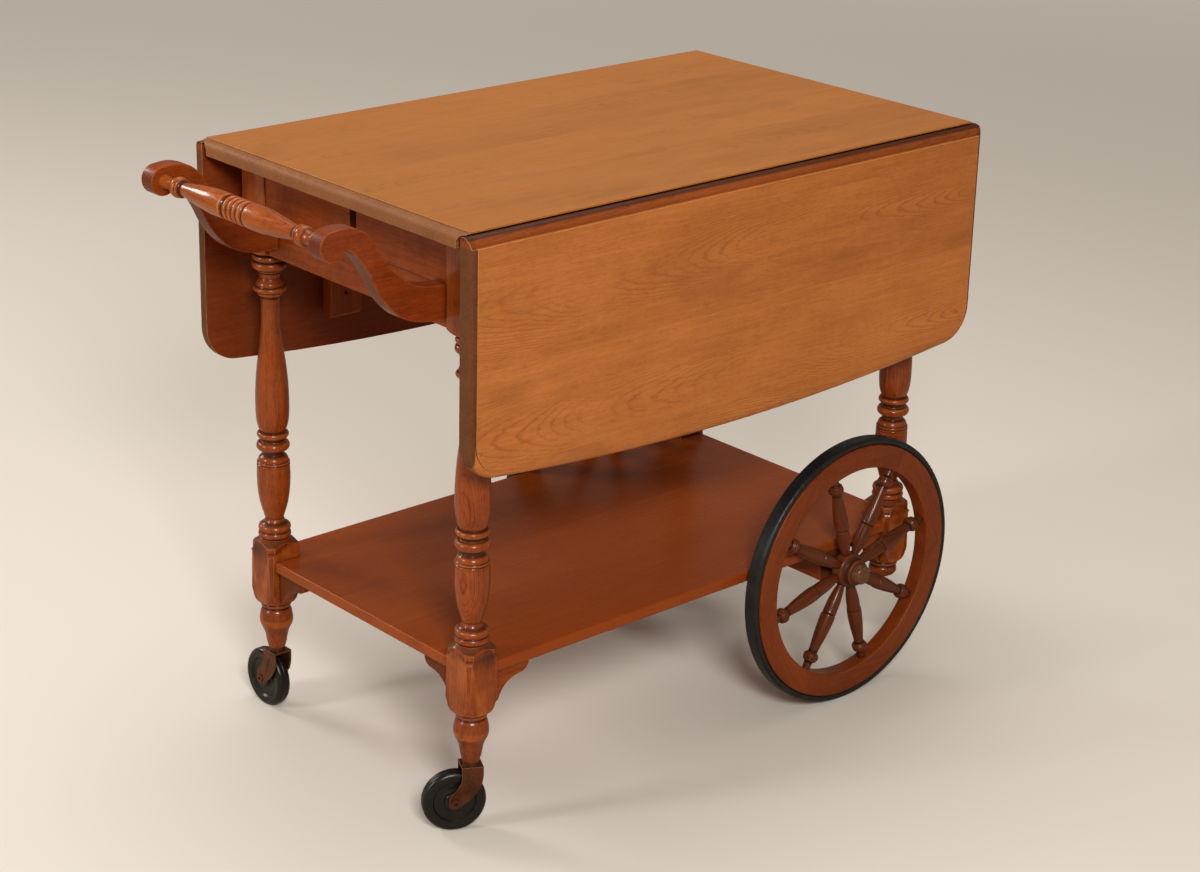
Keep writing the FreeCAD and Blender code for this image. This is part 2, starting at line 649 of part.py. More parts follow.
cheeks = []
prop_pins = []
for side, side_sign in SIDES.items():
    for end, end_sign in ENDS.items():
        place = end_sign * S.prop_place
        make_prop(f"prop_{side}_{end}", place, side_sign)
        offset = S.prop_width / 2 + PROP_PLAY + CHEEK_THICK / 2
        cheeks += [cheek(place - offset, side_sign), cheek(place + offset, side_sign)]
        pin_half = offset + CHEEK_THICK / 2
        prop_pins.append(rod_x(PROP_PIN_RADIUS, place - pin_half, place + pin_half,
                               side_sign * PROP_CENTRE_Y, S.prop_pivot_height))
put(feature("prop_cheeks", Part.makeCompound(cheeks)))
put(feature("prop_pins", Part.makeCompound(prop_pins)))

# Where a prop's free end meets the raised leaf: its distance out from the hinge pin.
CATCH_PLACE = 114.0
CATCH_LENGTH = 34.0
for side, side_sign in SIDES.items():
    catches = []
    for end_sign in ENDS.values():
        half_width = S.prop_width / 2 - 4
        middle = end_sign * S.prop_place
        top_z = -CATCH_PLACE + CATCH_LENGTH
        plate = block(middle - half_width, LEAF_BACK - CATCH_PLATE, -CATCH_PLACE,
                      middle + half_width, LEAF_BACK, top_z)
        ridge = block(middle - half_width, LEAF_BACK - CATCH_LIP, -CATCH_PLACE - 2.0,
                      middle + half_width, LEAF_BACK, -CATCH_PLACE)
        catches.append(plate.fuse(ridge).removeSplitter())
    turn = 0 if side_sign > 0 else 180
    put(feature(f"prop_catches_{side}", Part.makeCompound(catches)),
        0, side_sign * PIN_OFFSET, PIN_HEIGHT, turn)


# ---- shelf, brackets and axle beam ----------------------------------------------------------

SHELF_ARRIS = 3.0
NOTCH_PLAY = 0.2
shelf = new_body("lower_shelf")
shelf_plan = sketch_on(shelf, "shelf_plan", "XY_Plane", SHELF_UNDERSIDE)
edge_x = S.shelf_length / 2
edge_y = S.shelf_width / 2
notch_x = INNER_LEG_X - NOTCH_PLAY
notch_y = INNER_LEG_Y - NOTCH_PLAY
quarter = [(edge_x, notch_y), (notch_x, notch_y), (notch_x, edge_y)]
draw(shelf_plan, (edge_x, notch_y), quarter[1:]
     + [(-x, y) for x, y in reversed(quarter)] + [(-x, -y) for x, y in quarter]
     + [(x, -y) for x, y in reversed(quarter)])
shelf_board = pad(shelf, "shelf_board", shelf_plan, "sizes.shelf_thick")
doc.recompute()
rounded = []
for index, edge in enumerate(shelf_board.Shape.Edges, start=1):
    box = edge.BoundBox
    flat = box.ZLength < 0.01
    at_side = abs(abs(box.YMin) - edge_y) < 0.01 and box.YLength < 0.01
    at_end = abs(abs(box.XMin) - edge_x) < 0.01 and box.XLength < 0.01
    if flat and (at_side or at_end):
        rounded.append(f"Edge{index}")
easing = shelf.newObject("PartDesign::Fillet", "shelf_easing")
easing.Base = (shelf_board, rounded)
easing.Radius = SHELF_ARRIS
node(put(shelf), "lower_shelf")

# A bracket's outline runs out from the leg (u) and down from the shelf (w).
BRACKET_REACH = 52.0
BRACKET_DROP = 44.0
BRACKET_THICK = 16.0
BRACKET_INSET = 5.0
BRACKET = [
    (0.0, 0.0), (BRACKET_REACH, 0.0), ((49.5, -9.5), (41.0, -14.0)), (37.0, -14.5),
    ((17.5, -22.5), (7.5, -38.0)), (3.5, -40.5), (2.0, -BRACKET_DROP), (0.0, -BRACKET_DROP),
]


def bracket(along_x, end_sign, side_sign):
    """One shaped bracket between a leg and the underside of the shelf."""
    if along_x:
        start, sign = end_sign * INNER_LEG_X, -end_sign
        middle = side_sign * (edge_y - BRACKET_INSET - BRACKET_THICK / 2)
    else:
        start, sign = side_sign * INNER_LEG_Y, -side_sign
        middle = end_sign * (edge_x - BRACKET_INSET - BRACKET_THICK / 2)

    def place(point):
        return (start + sign * point[0], SHELF_UNDERSIDE + point[1])

    points = [(place(p[0]), place(p[1])) if isinstance(p[0], tuple) else place(p) for p in BRACKET]
    return prism(points, BRACKET_THICK, middle, "Y" if along_x else "X")


for end, end_sign in ENDS.items():
    for side, side_sign in SIDES.items():
        solids = [bracket(False, end_sign, side_sign), bracket(True, end_sign, side_sign)]
        put(feature(f"shelf_brackets_{end}_{side}", Part.makeCompound(solids)))

# The axle beam runs right across under the shelf and is bored for the axle.
BEAM_HALF_WIDTH = 27.0
BEAM_BOTTOM = 158.0
BEAM_ARRIS = 3.0
BEAM_INSET = 2.5
AXLE_PLAY = 0.05
beam = new_body("axle_beam")
beam_section = sketch_on(beam, "axle_beam_section", "XZ_Plane")
beam_front = S.wheel_place - BEAM_HALF_WIDTH
beam_back = S.wheel_place + BEAM_HALF_WIDTH
bend = BEAM_ARRIS * (1 - math.sqrt(0.5))
draw(beam_section, (beam_front, SHELF_UNDERSIDE), [
    (beam_front, BEAM_BOTTOM + BEAM_ARRIS),
    ((beam_front + bend, BEAM_BOTTOM + bend), (beam_front + BEAM_ARRIS, BEAM_BOTTOM)),
    (beam_back - BEAM_ARRIS, BEAM_BOTTOM),
    ((beam_back - bend, BEAM_BOTTOM + bend), (beam_back, BEAM_BOTTOM + BEAM_ARRIS)),
    (beam_back, SHELF_UNDERSIDE)])
pad(beam, "axle_beam_board", beam_section, f"sizes.shelf_width - {2 * BEAM_INSET}", middle=True)
beam_bore = sketch_on(beam, "axle_beam_bore_outline", "XZ_Plane")
circle(beam_bore, S.wheel_place, S.wheel_radius, S.axle_radius + AXLE_PLAY,
       f"sizes.axle_radius + {AXLE_PLAY}")
pocket(beam, "axle_beam_bore", beam_bore, 2 * S.shelf_width)
node(put(beam), "axle_beam")


# ---- handle ---------------------------------------------------------------------------------

SCROLL = (-S.scroll_reach, S.scroll_height)
ARM_FOOT_TOP = 656.2
ARM_FOOT_BOTTOM = 617.0
NOTCH_CLEAR = 0.3
SPINDLE_TENON = 5.0
TENON_LENGTH = 14.0


def scroll_point(degrees):
    angle = math.radians(degrees)
    return (SCROLL[0] + S.scroll_radius * math.cos(angle),
            SCROLL[1] + S.scroll_radius * math.sin(angle))


def make_arm(label, side_sign):
    """An S-shaped arm from the lower end rail, past the proud upper one, to its round scroll."""
    body = new_body(label)
    outline = sketch_on(body, label + "_outline", "XZ_Plane")
    root_x = -RAIL_FACE_X
    notch_x = upper_face - NOTCH_CLEAR
    notch_height = S.end_rail_top - NOTCH_PLAY
    draw(outline, (root_x, notch_height), [
        (notch_x, notch_height), (notch_x, ARM_FOOT_TOP),
        ((-382.0, 657.2), (-402.0, 660.6)), ((-415.0, 666.0), (-428.0, 675.0)),
        ((-447.5, 695.5), (-458.0, 711.0)), ((-466.5, 725.0), (-480.0, 736.5)),
        ((-496.0, 741.4), scroll_point(90)), (scroll_point(180), scroll_point(270)),
        (scroll_point(292), scroll_point(314)), ((-497.5, 716.3), (-489.0, 711.0)),
        ((-475.0, 694.0), (-463.0, 672.5)), ((-448.0, 648.5), (-429.0, 630.5)),
        ((-404.0, 620.3), (-381.0, ARM_FOOT_BOTTOM)), (root_x, ARM_FOOT_BOTTOM)])
    pad(body, label + "_board", outline, "sizes.arm_thick", middle=True)
    bore = sketch_on(body, label + "_mortise_outline", "XZ_Plane", side_sign * S.arm_thick / 2)
    circle(bore, SCROLL[0], SCROLL[1], SPINDLE_TENON)
    pocket(body, label + "_mortise", bore, 2 * TENON_LENGTH)
    return node(put(body, 0, side_sign * S.arm_offset, 0), label)


for side, side_sign in SIDES.items():
    make_arm(f"handle_arm_{side}", side_sign)

# Half of the spindle from its middle to one end; the other half mirrors it.
ARM_INNER = S.arm_offset - S.arm_thick / 2
HALF_SPINDLE = [
    (0.0, 11.4), (1.2, 12.8), (7.4, 12.8, 1.4), (8.6, 11.4), (9.8, 12.8), (16.0, 12.8, 1.4),
    (17.2, 11.0), (21.4, 10.8, -0.3), (22.4, 13.2), (24.0, 14.2, 0.3), (34.0, 14.5, 0.1),
    (60.0, 13.2, 0.5), (86.0, 10.4, 0.3), (109.0, 7.6, -0.1), (110.0, 8.4), (110.6, 10.6),
    (112.2, 10.8, 0.4), (112.8, 9.8), (123.0, 9.8, 2.2), (124.0, 8.6), (136.0, 6.6, -0.9),
    (ARM_INNER, 8.6, -0.4), (ARM_INNER, SPINDLE_TENON), (ARM_INNER + TENON_LENGTH, SPINDLE_TENON),
]


def mirrored(stations):
    """The whole profile from +Z to -Z, given its half from the middle outwards."""
    upper_half = []
    for index in range(len(stations) - 1, -1, -1):
        swell = stations[index + 1][2:] if index + 1 < len(stations) else ()
        upper_half.append(tuple(stations[index][:2]) + tuple(swell))
    lower_half = [(-s[0],) + tuple(s[1:]) for s in stations[1:]]
    return upper_half + lower_half


spindle = turned_body("handle_spindle", mirrored(HALF_SPINDLE))
node(put(spindle, SCROLL[0], 0, SCROLL[1], 90, (1, 0, 0)), "handle_spindle")


# ---- axle and spoked wheels --------------------------------------------------------------------

# Heights are measured outwards along the axle from the middle of the rim.
HUB = [(12.0, 13.0), (12.0, 15.0), (10.5, 17.5, 0.3), (9.0, 18.0), (8.0, 20.5), (4.0, 22.6, 0.6),
       (-6.0, 22.6, 0.4), (-9.0, 19.0), (-11.6, 18.0), (-13.0, 14.0), (-20.8, 12.0)]
CAP = [(30.0, 0.5), (28.8, 7.5, 0.5), (25.5, 12.2, 1.4), (19.6, 13.0, 0.4), (19.0, 13.4),
       (18.4, 15.6), (15.0, 16.6, 0.8), (12.0, 16.0)]
HUB_BORE = S.axle_radius + AXLE_PLAY
CAP_BORE = 8.0
CAP_BORE_END = 17.0
AXLE_END = S.wheel_plane + 14.0
SPOKE_TENON = 5.0
TENON_START = 20.0
TENON_IN_RIM = 8.0
# Distances out from the wheel's centre along a spoke.
SPOKE = [(TENON_START, SPOKE_TENON), (24.0, SPOKE_TENON), (26.0, 5.8), (57.0, 8.6, 0.8),
         (60.5, 9.0), (61.5, 7.8), (62.5, 9.3), (66.0, 9.5), (100.0, 7.2, 0.5), (114.0, 6.0, -0.2),
         (116.5, 8.6, 0.4), (120.0, 9.8, 0.5), (122.5, 9.6), (123.2, 8.6), (125.5, 8.2, 0.4),
         (127.5, 5.4), (S.rim_inner - 1.0, SPOKE_TENON), (S.rim_inner + TENON_IN_RIM, SPOKE_TENON)]
RIM_ARRIS = 2.5
TYRE_WIDTH = 20.0
TYRE_ROUND = 3.5


def bored(solid, radius, low, high):
    return solid.cut(Part.makeCylinder(radius, high - low, vec(0, 0, low)))


def ring(points):
    """A ring turned about Z from (radius, height) points and arcs."""
    edges = []
    here = points[0]
    for step in points[1:] + [points[0]]:
        is_arc = isinstance(step[0], tuple)
        there = step[1] if is_arc else step
        if math.dist(here, there) < 1e-6:
            continue
        ends = [vec(p[0], 0, p[1]) for p in ((here, step[0], there) if is_arc else (here, there))]
        edges.append(Part.Arc(*ends).toShape() if is_arc else Part.LineSegment(*ends).toShape())
        here = there
    return Part.Face(Part.Wire(edges)).revolve(vec(), vec(0, 0, 1), 360)


def lathe(stations):
    """A solid of revolution about Z made directly from stations."""
    first, last = stations[0], stations[-1]
    points = [(0.0, first[0]), (first[1], first[0])] + turned_steps(stations) + [(0.0, last[0])]
    return ring(points)


def eased_ring(inner, outer, width, arris):
    """A ring of square section with four rounded arrises."""
    half_width = width / 2
    bend = arris * (1 - math.sqrt(0.5))
    return ring([
        (inner + arris, half_width), (outer - arris, half_width),
        ((outer - bend, half_width - bend), (outer, half_width - arris)),
        (outer, -half_width + arris),
        ((outer - bend, -half_width + bend), (outer - arris, -half_width)),
        (inner + arris, -half_width),
        ((inner + bend, -half_width + bend), (inner, -half_width + arris)),
        (inner, half_width - arris),
        ((inner + bend, half_width - bend), (inner + arris, half_width))])


def make_wheel(side, side_sign):
    hub = bored(lathe(HUB), HUB_BORE, HUB[-1][0] - 1, HUB[0][0] + 1)
    spoke = lathe([(-height, radius, *rest) for height, radius, *rest in SPOKE])
    spokes = []
    sockets = []
    for index in range(int(S.spoke_count)):
        turn = S.spoke_phase + index * 360.0 / S.spoke_count
        one = spoke.copy()
        one.rotate(vec(), vec(0, 1, 0), -90)
        one.rotate(vec(), vec(0, 0, 1), turn)
        spokes.append(one)
        socket = rod_x(SPOKE_TENON, TENON_START, S.rim_inner + TENON_IN_RIM)
        socket.rotate(vec(), vec(0, 0, 1), turn)
        sockets.append(socket)
    tools = Part.makeCompound(sockets)
    hub = hub.cut(tools)
    rim = eased_ring(S.rim_inner, S.rim_outer, S.rim_thick, RIM_ARRIS).cut(tools)
    tyre = eased_ring(S.rim_outer, S.wheel_radius, TYRE_WIDTH, TYRE_ROUND)
    cap = bored(lathe(CAP), CAP_BORE, HUB[0][0] - 1, CAP_BORE_END)
    for name, shape in (("hub", hub), ("spokes", Part.makeCompound(spokes)), ("rim", rim),
                        ("tyre", tyre), ("hub_cap", cap)):
        made = feature(f"wheel_{name}_{side}", shape)
        # the wheel's own Z becomes the outward direction
        put(made, S.wheel_place, side_sign * S.wheel_plane, S.wheel_radius, -90 * side_sign, (1, 0, 0))


for side, side_sign in SIDES.items():
    make_wheel(side, side_sign)

axle = doc.addObject("Part::Cylinder", "axle")
axle.setExpression("Radius", "sizes.axle_radius")
axle.Height = 2 * AXLE_END
node(put(axle, S.wheel_place, -AXLE_END, S.wheel_radius, -90, (1, 0, 0)), "axle")


# ---- casters ---------------------------------------------------------------------------------

SOCKET_RADIUS = 9.0
SOCKET_DEPTH = 34.0
STEM_RADIUS = 4.5
STEM_PLAY = 0.05
COLLAR_RADIUS = 9.6
COLLAR_PLAY = 0.6
FORK_TOP = 81.5
FORK_THICK = 2.2
FORK_GAP = 21.0
FORK_HALF_TOP = 12.7
RIVET_RADIUS = 3.0
RIVET_HEAD = 5.6
RIVET_HEAD_THICK = 1.6
RIVET_HOLLOW = 2.2
RIVET_HOLLOW_DEPTH = 3.0
RIVET_BORE = RIVET_RADIUS + 0.05
# A rib pressed outwards in each cheek of the fork.
RIB_TOP = (0.8, 71.5)
RIB_BOTTOM = (9.4, 46.0)
RIB_RADIUS = 1.4
RIB_SUNK = 0.6
CASTER_TURN = {"near": 153.0, "far": 90.0}
TREAD_SIDE = 9.0
CASTER_SECTION = [
    (RIVET_BORE, 10.1), (9.0, 10.1), ((11.5, 9.2), (12.5, 6.4)), (16.0, 5.4), (24.0, 5.8), (26.0, 8.2),
    (S.caster_radius - 5.0, TREAD_SIDE), ((S.caster_radius - 0.6, 6.4), (S.caster_radius, 0.0))]


def caster_wheel():
    """A moulded wheel: boss, sunk web and rounded tread, turned about its own Z."""
    points = CASTER_SECTION + [
        ((S.caster_radius - 0.6, -6.4), (S.caster_radius - 5.0, -TREAD_SIDE)), (26.0, -8.2),
        (24.0, -5.8), (16.0, -5.4), (12.5, -6.4), ((11.5, -9.2), (9.0, -10.1)), (RIVET_BORE, -10.1)]
    return ring(points)


def fork_side(side_sign):
    """One side of the fork: a tapering cheek from the crown back to the axle, with its rib."""
    outer = side_sign * (FORK_GAP / 2 + FORK_THICK)
    points = [(-FORK_HALF_TOP, FORK_TOP), (FORK_HALF_TOP, FORK_TOP), (12.6, 67.0),
              ((15.6, 58.6), (21.5, 51.0)), ((26.6, 44.5), (27.2, 38.0)), ((24.8, 31.6), (17.6, 31.0)),
              ((0.5, 43.0), (-9.5, 56.0)), ((-11.8, 64.0), (-FORK_HALF_TOP, 72.0))]
    cheek_plate = prism(points, FORK_THICK, outer - side_sign * FORK_THICK / 2, "Y")
    rib_y = outer - side_sign * RIB_SUNK
    top = vec(RIB_TOP[0], rib_y, RIB_TOP[1])
    bottom = vec(RIB_BOTTOM[0], rib_y, RIB_BOTTOM[1])
    rib = Part.makeCylinder(RIB_RADIUS, (bottom - top).Length, top, bottom - top)
    ends = [Part.makeSphere(RIB_RADIUS, point) for point in (top, bottom)]
    hole = Part.makeCylinder(RIVET_RADIUS, 60, vec(S.caster_trail, -30, S.caster_radius), vec(0, 1, 0))
    return cheek_plate.fuse([rib] + ends).cut(hole)


def make_rivet():
    """The fork's rivet across the wheel, with a round head and a shallow hollow at each end."""
    half_width = FORK_GAP / 2 + FORK_THICK
    rivet = Part.makeCylinder(RIVET_RADIUS, 2 * half_width, vec(0, -half_width, 0), vec(0, 1, 0))
    for side_sign in SIDES.values():
        outward = vec(0, side_sign, 0)
        head_start = outward * half_width
        hollow_start = outward * (half_width + RIVET_HEAD_THICK)
        rivet = rivet.fuse(Part.makeCylinder(RIVET_HEAD, RIVET_HEAD_THICK, head_start, outward))
        rivet = rivet.cut(Part.makeCylinder(RIVET_HOLLOW, RIVET_HOLLOW_DEPTH, hollow_start, -outward))
    rivet.translate(vec(S.caster_trail, 0, S.caster_radius))
    return rivet


def make_caster(side, side_sign):
    half_gap = FORK_GAP / 2
    crown = block(-FORK_HALF_TOP, -half_gap - FORK_THICK, FORK_TOP - FORK_THICK,
                  FORK_HALF_TOP, half_gap + FORK_THICK, FORK_TOP)
    fork = crown.fuse([fork_side(sign) for sign in SIDES.values()])
    collar = Part.makeCylinder(COLLAR_RADIUS, S.front_foot - FORK_TOP - COLLAR_PLAY, vec(0, 0, FORK_TOP))
    stem = Part.makeCylinder(STEM_RADIUS, SOCKET_DEPTH, vec(0, 0, FORK_TOP))
    fork = fork.fuse([collar, stem]).removeSplitter()
    rivet = make_rivet()
    wheel = caster_wheel()
    wheel.rotate(vec(), vec(1, 0, 0), 90)
    wheel.translate(vec(S.caster_trail, 0, S.caster_radius))
    wheel_nodes = ((f"caster_fork_{side}", fork), (f"caster_rivet_{side}", rivet.removeSplitter()),
                   (f"caster_wheel_{side}", wheel))
    for label, shape in wheel_nodes:
        put(feature(label, shape), -LEG_X, side_sign * LEG_Y, 0, CASTER_TURN[side])
    socket = Part.makeCylinder(SOCKET_RADIUS, SOCKET_DEPTH, vec(0, 0, S.front_foot))
    socket = socket.cut(Part.makeCylinder(STEM_RADIUS + STEM_PLAY, SOCKET_DEPTH - 2, vec(0, 0, S.front_foot)))
    put(feature(f"caster_socket_{side}", socket), -LEG_X, side_sign * LEG_Y)


for side, side_sign in SIDES.items():
    make_caster(side, side_sign)

# Each front leg is bored for its caster socket.
doc.recompute()
for side in SIDES:
    leg = next(item for item in nodes if item.Label == f"leg_front_{side}")
    hole = sketch_on(leg, f"leg_front_{side}_socket_outline", "XY_Plane", S.front_foot - 1)
    circle(hole, 0, 0, SOCKET_RADIUS)
    bore = leg.newObject("PartDesign::Pocket", f"leg_front_{side}_socket")
    bore.Profile = hole
    bore.Length = SOCKET_DEPTH + 1
    bore.Reversed = True
    leg.Tip = bore


# ---- check and write --------------------------------------------------------------------------

doc.recompute()
for obj in doc.Objects:
    assert not {"Invalid", "Error"} & set(obj.State), (obj.Label, obj.State)
os.makedirs("parts", exist_ok=True)
for obj in nodes:
    shape = obj.Shape
    assert not shape.isNull() and shape.isValid() and shape.Solids, obj.Label
    shape.exportStep(os.path.join("parts", obj.Label + ".step"))
print(len(nodes), "nodes written")
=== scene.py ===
import json
import math
from dataclasses import dataclass

import bmesh
import bpy
import numpy as np
from mathutils import Matrix, Vector


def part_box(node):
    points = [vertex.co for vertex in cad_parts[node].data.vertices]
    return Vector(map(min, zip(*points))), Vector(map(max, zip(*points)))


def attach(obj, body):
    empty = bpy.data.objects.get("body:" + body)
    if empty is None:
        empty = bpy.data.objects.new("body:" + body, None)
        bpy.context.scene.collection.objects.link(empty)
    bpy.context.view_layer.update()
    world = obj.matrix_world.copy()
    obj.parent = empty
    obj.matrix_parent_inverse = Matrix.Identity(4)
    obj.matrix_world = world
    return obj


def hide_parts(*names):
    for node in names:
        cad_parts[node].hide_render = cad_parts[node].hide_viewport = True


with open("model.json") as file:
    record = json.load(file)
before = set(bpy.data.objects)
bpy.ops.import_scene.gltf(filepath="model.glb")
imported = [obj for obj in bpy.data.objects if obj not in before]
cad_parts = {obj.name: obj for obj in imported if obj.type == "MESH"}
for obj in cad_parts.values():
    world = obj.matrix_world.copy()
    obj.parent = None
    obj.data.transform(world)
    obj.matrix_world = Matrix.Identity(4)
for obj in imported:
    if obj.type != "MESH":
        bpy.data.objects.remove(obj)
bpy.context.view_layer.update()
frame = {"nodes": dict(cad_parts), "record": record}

# Lengths are metres in the row frame: X along the trolley, Y across it, Z up.
MM = 0.001
X, Y, Z = 0, 1, 2

SIDES = {"near": -1, "far": 1}      # each side, with the sign of its Y
ENDS = ("front", "rear")            # the handle end and the wheel end
NODES = frame["nodes"]
BODY_OF = {node: body for body, names in frame["record"]["behaviour"]["bodies"].items()
           for node in names}


def centre(node):
    low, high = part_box(node)
    return (low + high) / 2


def half_length(node):
    low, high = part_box(node)
    return (high.x - low.x) / 2


def filled_in(table):
    """A table for both sides and both ends, from one whose names hold {side} and {end}."""
    made = {}
    for side in SIDES:
        for end in ENDS:
            for name, value in table.items():
                if isinstance(value, str):
                    value = value.format(side=side)
                made[name.format(side=side, end=end)] = value
    return made


def scaled(colour, *factors):
    """A colour times one factor, or times one for each channel."""
    if len(factors) == 1:
        factors *= len(colour)
    return tuple(min(1.0, factor * channel) for channel, factor in zip(colour, factors))


# ---- node graphs ---------------------------------------------------------------------------

# The sockets of a Mix node that mixes colours.
MIX_A, MIX_B, MIX_RESULT = 6, 7, 2


class Graph:
    """Short names for the nodes of one material."""

    def __init__(self, name):
        self.material = bpy.data.materials.new(name)
        self.material.use_nodes = True
        self.tree = self.material.node_tree
        self.shader = self.tree.nodes["Principled BSDF"]
        self.coordinates = self.node("ShaderNodeTexCoord").outputs
        self.axes = self.split(self.coordinates["Object"])

    def node(self, kind, inputs=None, **settings):
        made = self.tree.nodes.new(kind)
        for key, value in settings.items():
            setattr(made, key, value)
        for key, value in (inputs or {}).items():
            self.feed(made.inputs[key], value)
        return made

    def feed(self, socket, value):
        if isinstance(value, bpy.types.NodeSocket):
            self.tree.links.new(value, socket)
        else:
            socket.default_value = value

    def split(self, vector):
        return self.node("ShaderNodeSeparateXYZ", {"Vector": vector}).outputs

    def math(self, operation, *values, clamp=False):
        made = self.node("ShaderNodeMath", operation=operation, use_clamp=clamp)
        for index, value in enumerate(values):
            self.feed(made.inputs[index], value)
        return made.outputs[0]

    def add(self, *terms):
        total = terms[0]
        for term in terms[1:]:
            total = self.math("ADD", total, term)
        return total

    def minus(self, a, b):
        return self.math("SUBTRACT", a, b)

    def times(self, a, b):
        return self.math("MULTIPLY", a, b)

    def length(self, a, b):
        return self.math("SQRT", self.add(self.times(a, a), self.times(b, b)))

    def steps(self, value, low, high, to_low=0.0, to_high=1.0):
        """A smooth step of the value from low to high."""
        made = self.node("ShaderNodeMapRange", interpolation_type="SMOOTHSTEP")
        for key, item in zip(("Value", "From Min", "From Max", "To Min", "To Max"),
                             (value, low, high, to_low, to_high)):
            self.feed(made.inputs[key], item)
        return made.outputs[0]

    def stretched(self, place, scales, offset=0.0):
        """A noise coordinate: three lengths, each with its own scale."""
        made = self.node("ShaderNodeCombineXYZ")
        for index, (length, scale) in enumerate(zip(place, scales)):
            self.feed(made.inputs[index], self.times(length, scale))
        return self.node("ShaderNodeVectorMath", {0: made.outputs[0], 1: (offset, offset, offset)},
                         operation="ADD").outputs[0]

    def noise(self, vector, scale=1.0, detail=2.0, roughness=0.5, distortion=0.0):
        made = self.node("ShaderNodeTexNoise", {"Vector": vector, "Scale": scale, "Detail": detail,
                                                "Roughness": roughness, "Distortion": distortion})
        return made.outputs["Fac"]

    def mix(self, factor, a, b, blend="MIX"):
        made = self.node("ShaderNodeMix", data_type="RGBA", blend_type=blend)
        self.feed(made.inputs["Factor"], factor)
        for socket, colour in ((MIX_A, a), (MIX_B, b)):
            self.feed(made.inputs[socket], (*colour, 1.0) if isinstance(colour, tuple) else colour)
        return made.outputs[MIX_RESULT]

    def relief(self):
        """Minus one in a groove, one on a crest or an eased arris."""
        return self.node("ShaderNodeAttribute", attribute_name="relief").outputs["Fac"]

    def bump(self, height, strength, distance):
        made = self.node("ShaderNodeBump", {"Height": height, "Strength": strength,
                                            "Distance": distance})
        self.feed(self.shader.inputs["Normal"], made.outputs[0])

    def set(self, **values):
        for key, value in values.items():
            self.feed(self.shader.inputs[key.replace("_", " ")], value)


# ---- camera, light and floor ---------------------------------------------------------------

# The view that the photograph was taken from, solved from its straight edges; angles in degrees.
IMAGE_WIDTH, IMAGE_HEIGHT = 1200, 872
FOCAL_PX = 2595.5
CENTRE_PX = (598.9, 381.4)
CAMERA_PLACE = Vector((-1.96614, -2.25058, 1.50626))
CAMERA_AZIMUTH = 42.15
CAMERA_DOWN = 19.81
CAMERA_ROLL = -1.46
SENSOR = 36.0
CLIP_END = 50.0


def make_camera():
    azimuth, down, roll = (math.radians(a) for a in (CAMERA_AZIMUTH, CAMERA_DOWN, CAMERA_ROLL))
    forward = Vector((math.sin(azimuth) * math.cos(down), math.cos(azimuth) * math.cos(down),
                      -math.sin(down)))
    level = Vector((math.cos(azimuth), -math.sin(azimuth), 0.0))
    below = forward.cross(level)
    right = math.cos(roll) * level + math.sin(roll) * below
    up = math.sin(roll) * level - math.cos(roll) * below
    data = bpy.data.cameras.new("camera")
    data.sensor_width = SENSOR
    data.lens = FOCAL_PX / IMAGE_WIDTH * SENSOR
    data.shift_x = (IMAGE_WIDTH / 2 - CENTRE_PX[0]) / IMAGE_WIDTH
    data.shift_y = (CENTRE_PX[1] - IMAGE_HEIGHT / 2) / IMAGE_WIDTH
    data.clip_end = CLIP_END
    camera = bpy.data.objects.new("camera", data)
    turn = Matrix((right, up, -forward)).transposed().to_4x4()
    camera.matrix_world = Matrix.Translation(CAMERA_PLACE) @ turn
    bpy.context.scene.collection.objects.link(camera)
    bpy.context.scene.camera = camera


WORLD_LEVEL = 0.22
WORLD_COLOUR = (1.0, 0.87, 0.72)    # what lights the trolley
WORLD_SEEN = (0.62, 0.58, 0.53)     # what the camera sees past the floor


def make_world():
    world = bpy.data.worlds.new("world")
    world.use_nodes = True
    background = world.node_tree.nodes["Background"]
    paths = world.node_tree.nodes.new("ShaderNodeLightPath")
    sky = world.node_tree.nodes.new("ShaderNodeMix")
    sky.data_type = "RGBA"
    sky.inputs[MIX_A].default_value = (*scaled(WORLD_COLOUR, WORLD_LEVEL), 1.0)
    sky.inputs[MIX_B].default_value = (*WORLD_SEEN, 1.0)
    world.node_tree.links.new(paths.outputs["Is Camera Ray"], sky.inputs["Factor"])
    world.node_tree.links.new(sky.outputs[MIX_RESULT], background.inputs["Color"])
    bpy.context.scene.world = world


# Each lamp's place, size, watts and colour. All of them point at the middle of the trolley.
LAMP_TARGET = Vector((0.05, 0.0, 0.5))
LAMPS = {
    "key": ((-1.9, -2.9, 2.4), (0.9, 0.8), 104.0, (1.0, 0.95, 0.88)),
    "ceiling": ((0.5, 0.5, 3.2), (2.2, 2.2), 38.0, (1.0, 0.94, 0.86)),
    "window": ((-3.2, 0.9, 1.7), (0.6, 1.2), 34.0, (1.0, 0.96, 0.90)),
    "back": ((-1.2, 3.3, 2.1), (1.0, 0.8), 40.0, (1.0, 0.95, 0.88)),
}


def make_lamps():
    for name, (place, size, watts, colour) in LAMPS.items():
        data = bpy.data.lights.new(name, "AREA")
        data.shape = "RECTANGLE"
        data.size, data.size_y = size
        data.energy = watts
        data.color = colour
        lamp = bpy.data.objects.new(name, data)
        lamp.location = place
        lamp.rotation_euler = (LAMP_TARGET - Vector(place)).to_track_quat("-Z", "Y").to_euler()
        bpy.context.scene.collection.objects.link(lamp)


FLOOR_SIZE = 60.0
FLOOR_COLOUR = (0.50, 0.43, 0.35)   # what throws light back at the trolley
FLOOR_SEEN = (0.80, 0.76, 0.71)     # what the camera sees
FLOOR_ROUGHNESS = 0.8
FLOOR_IOR_LEVEL = 0.2
GLOW_START, GLOW_END = 1.5, 9.0     # the floor's own light makes up for the lamps' fall
GLOW_LEVEL = 0.72


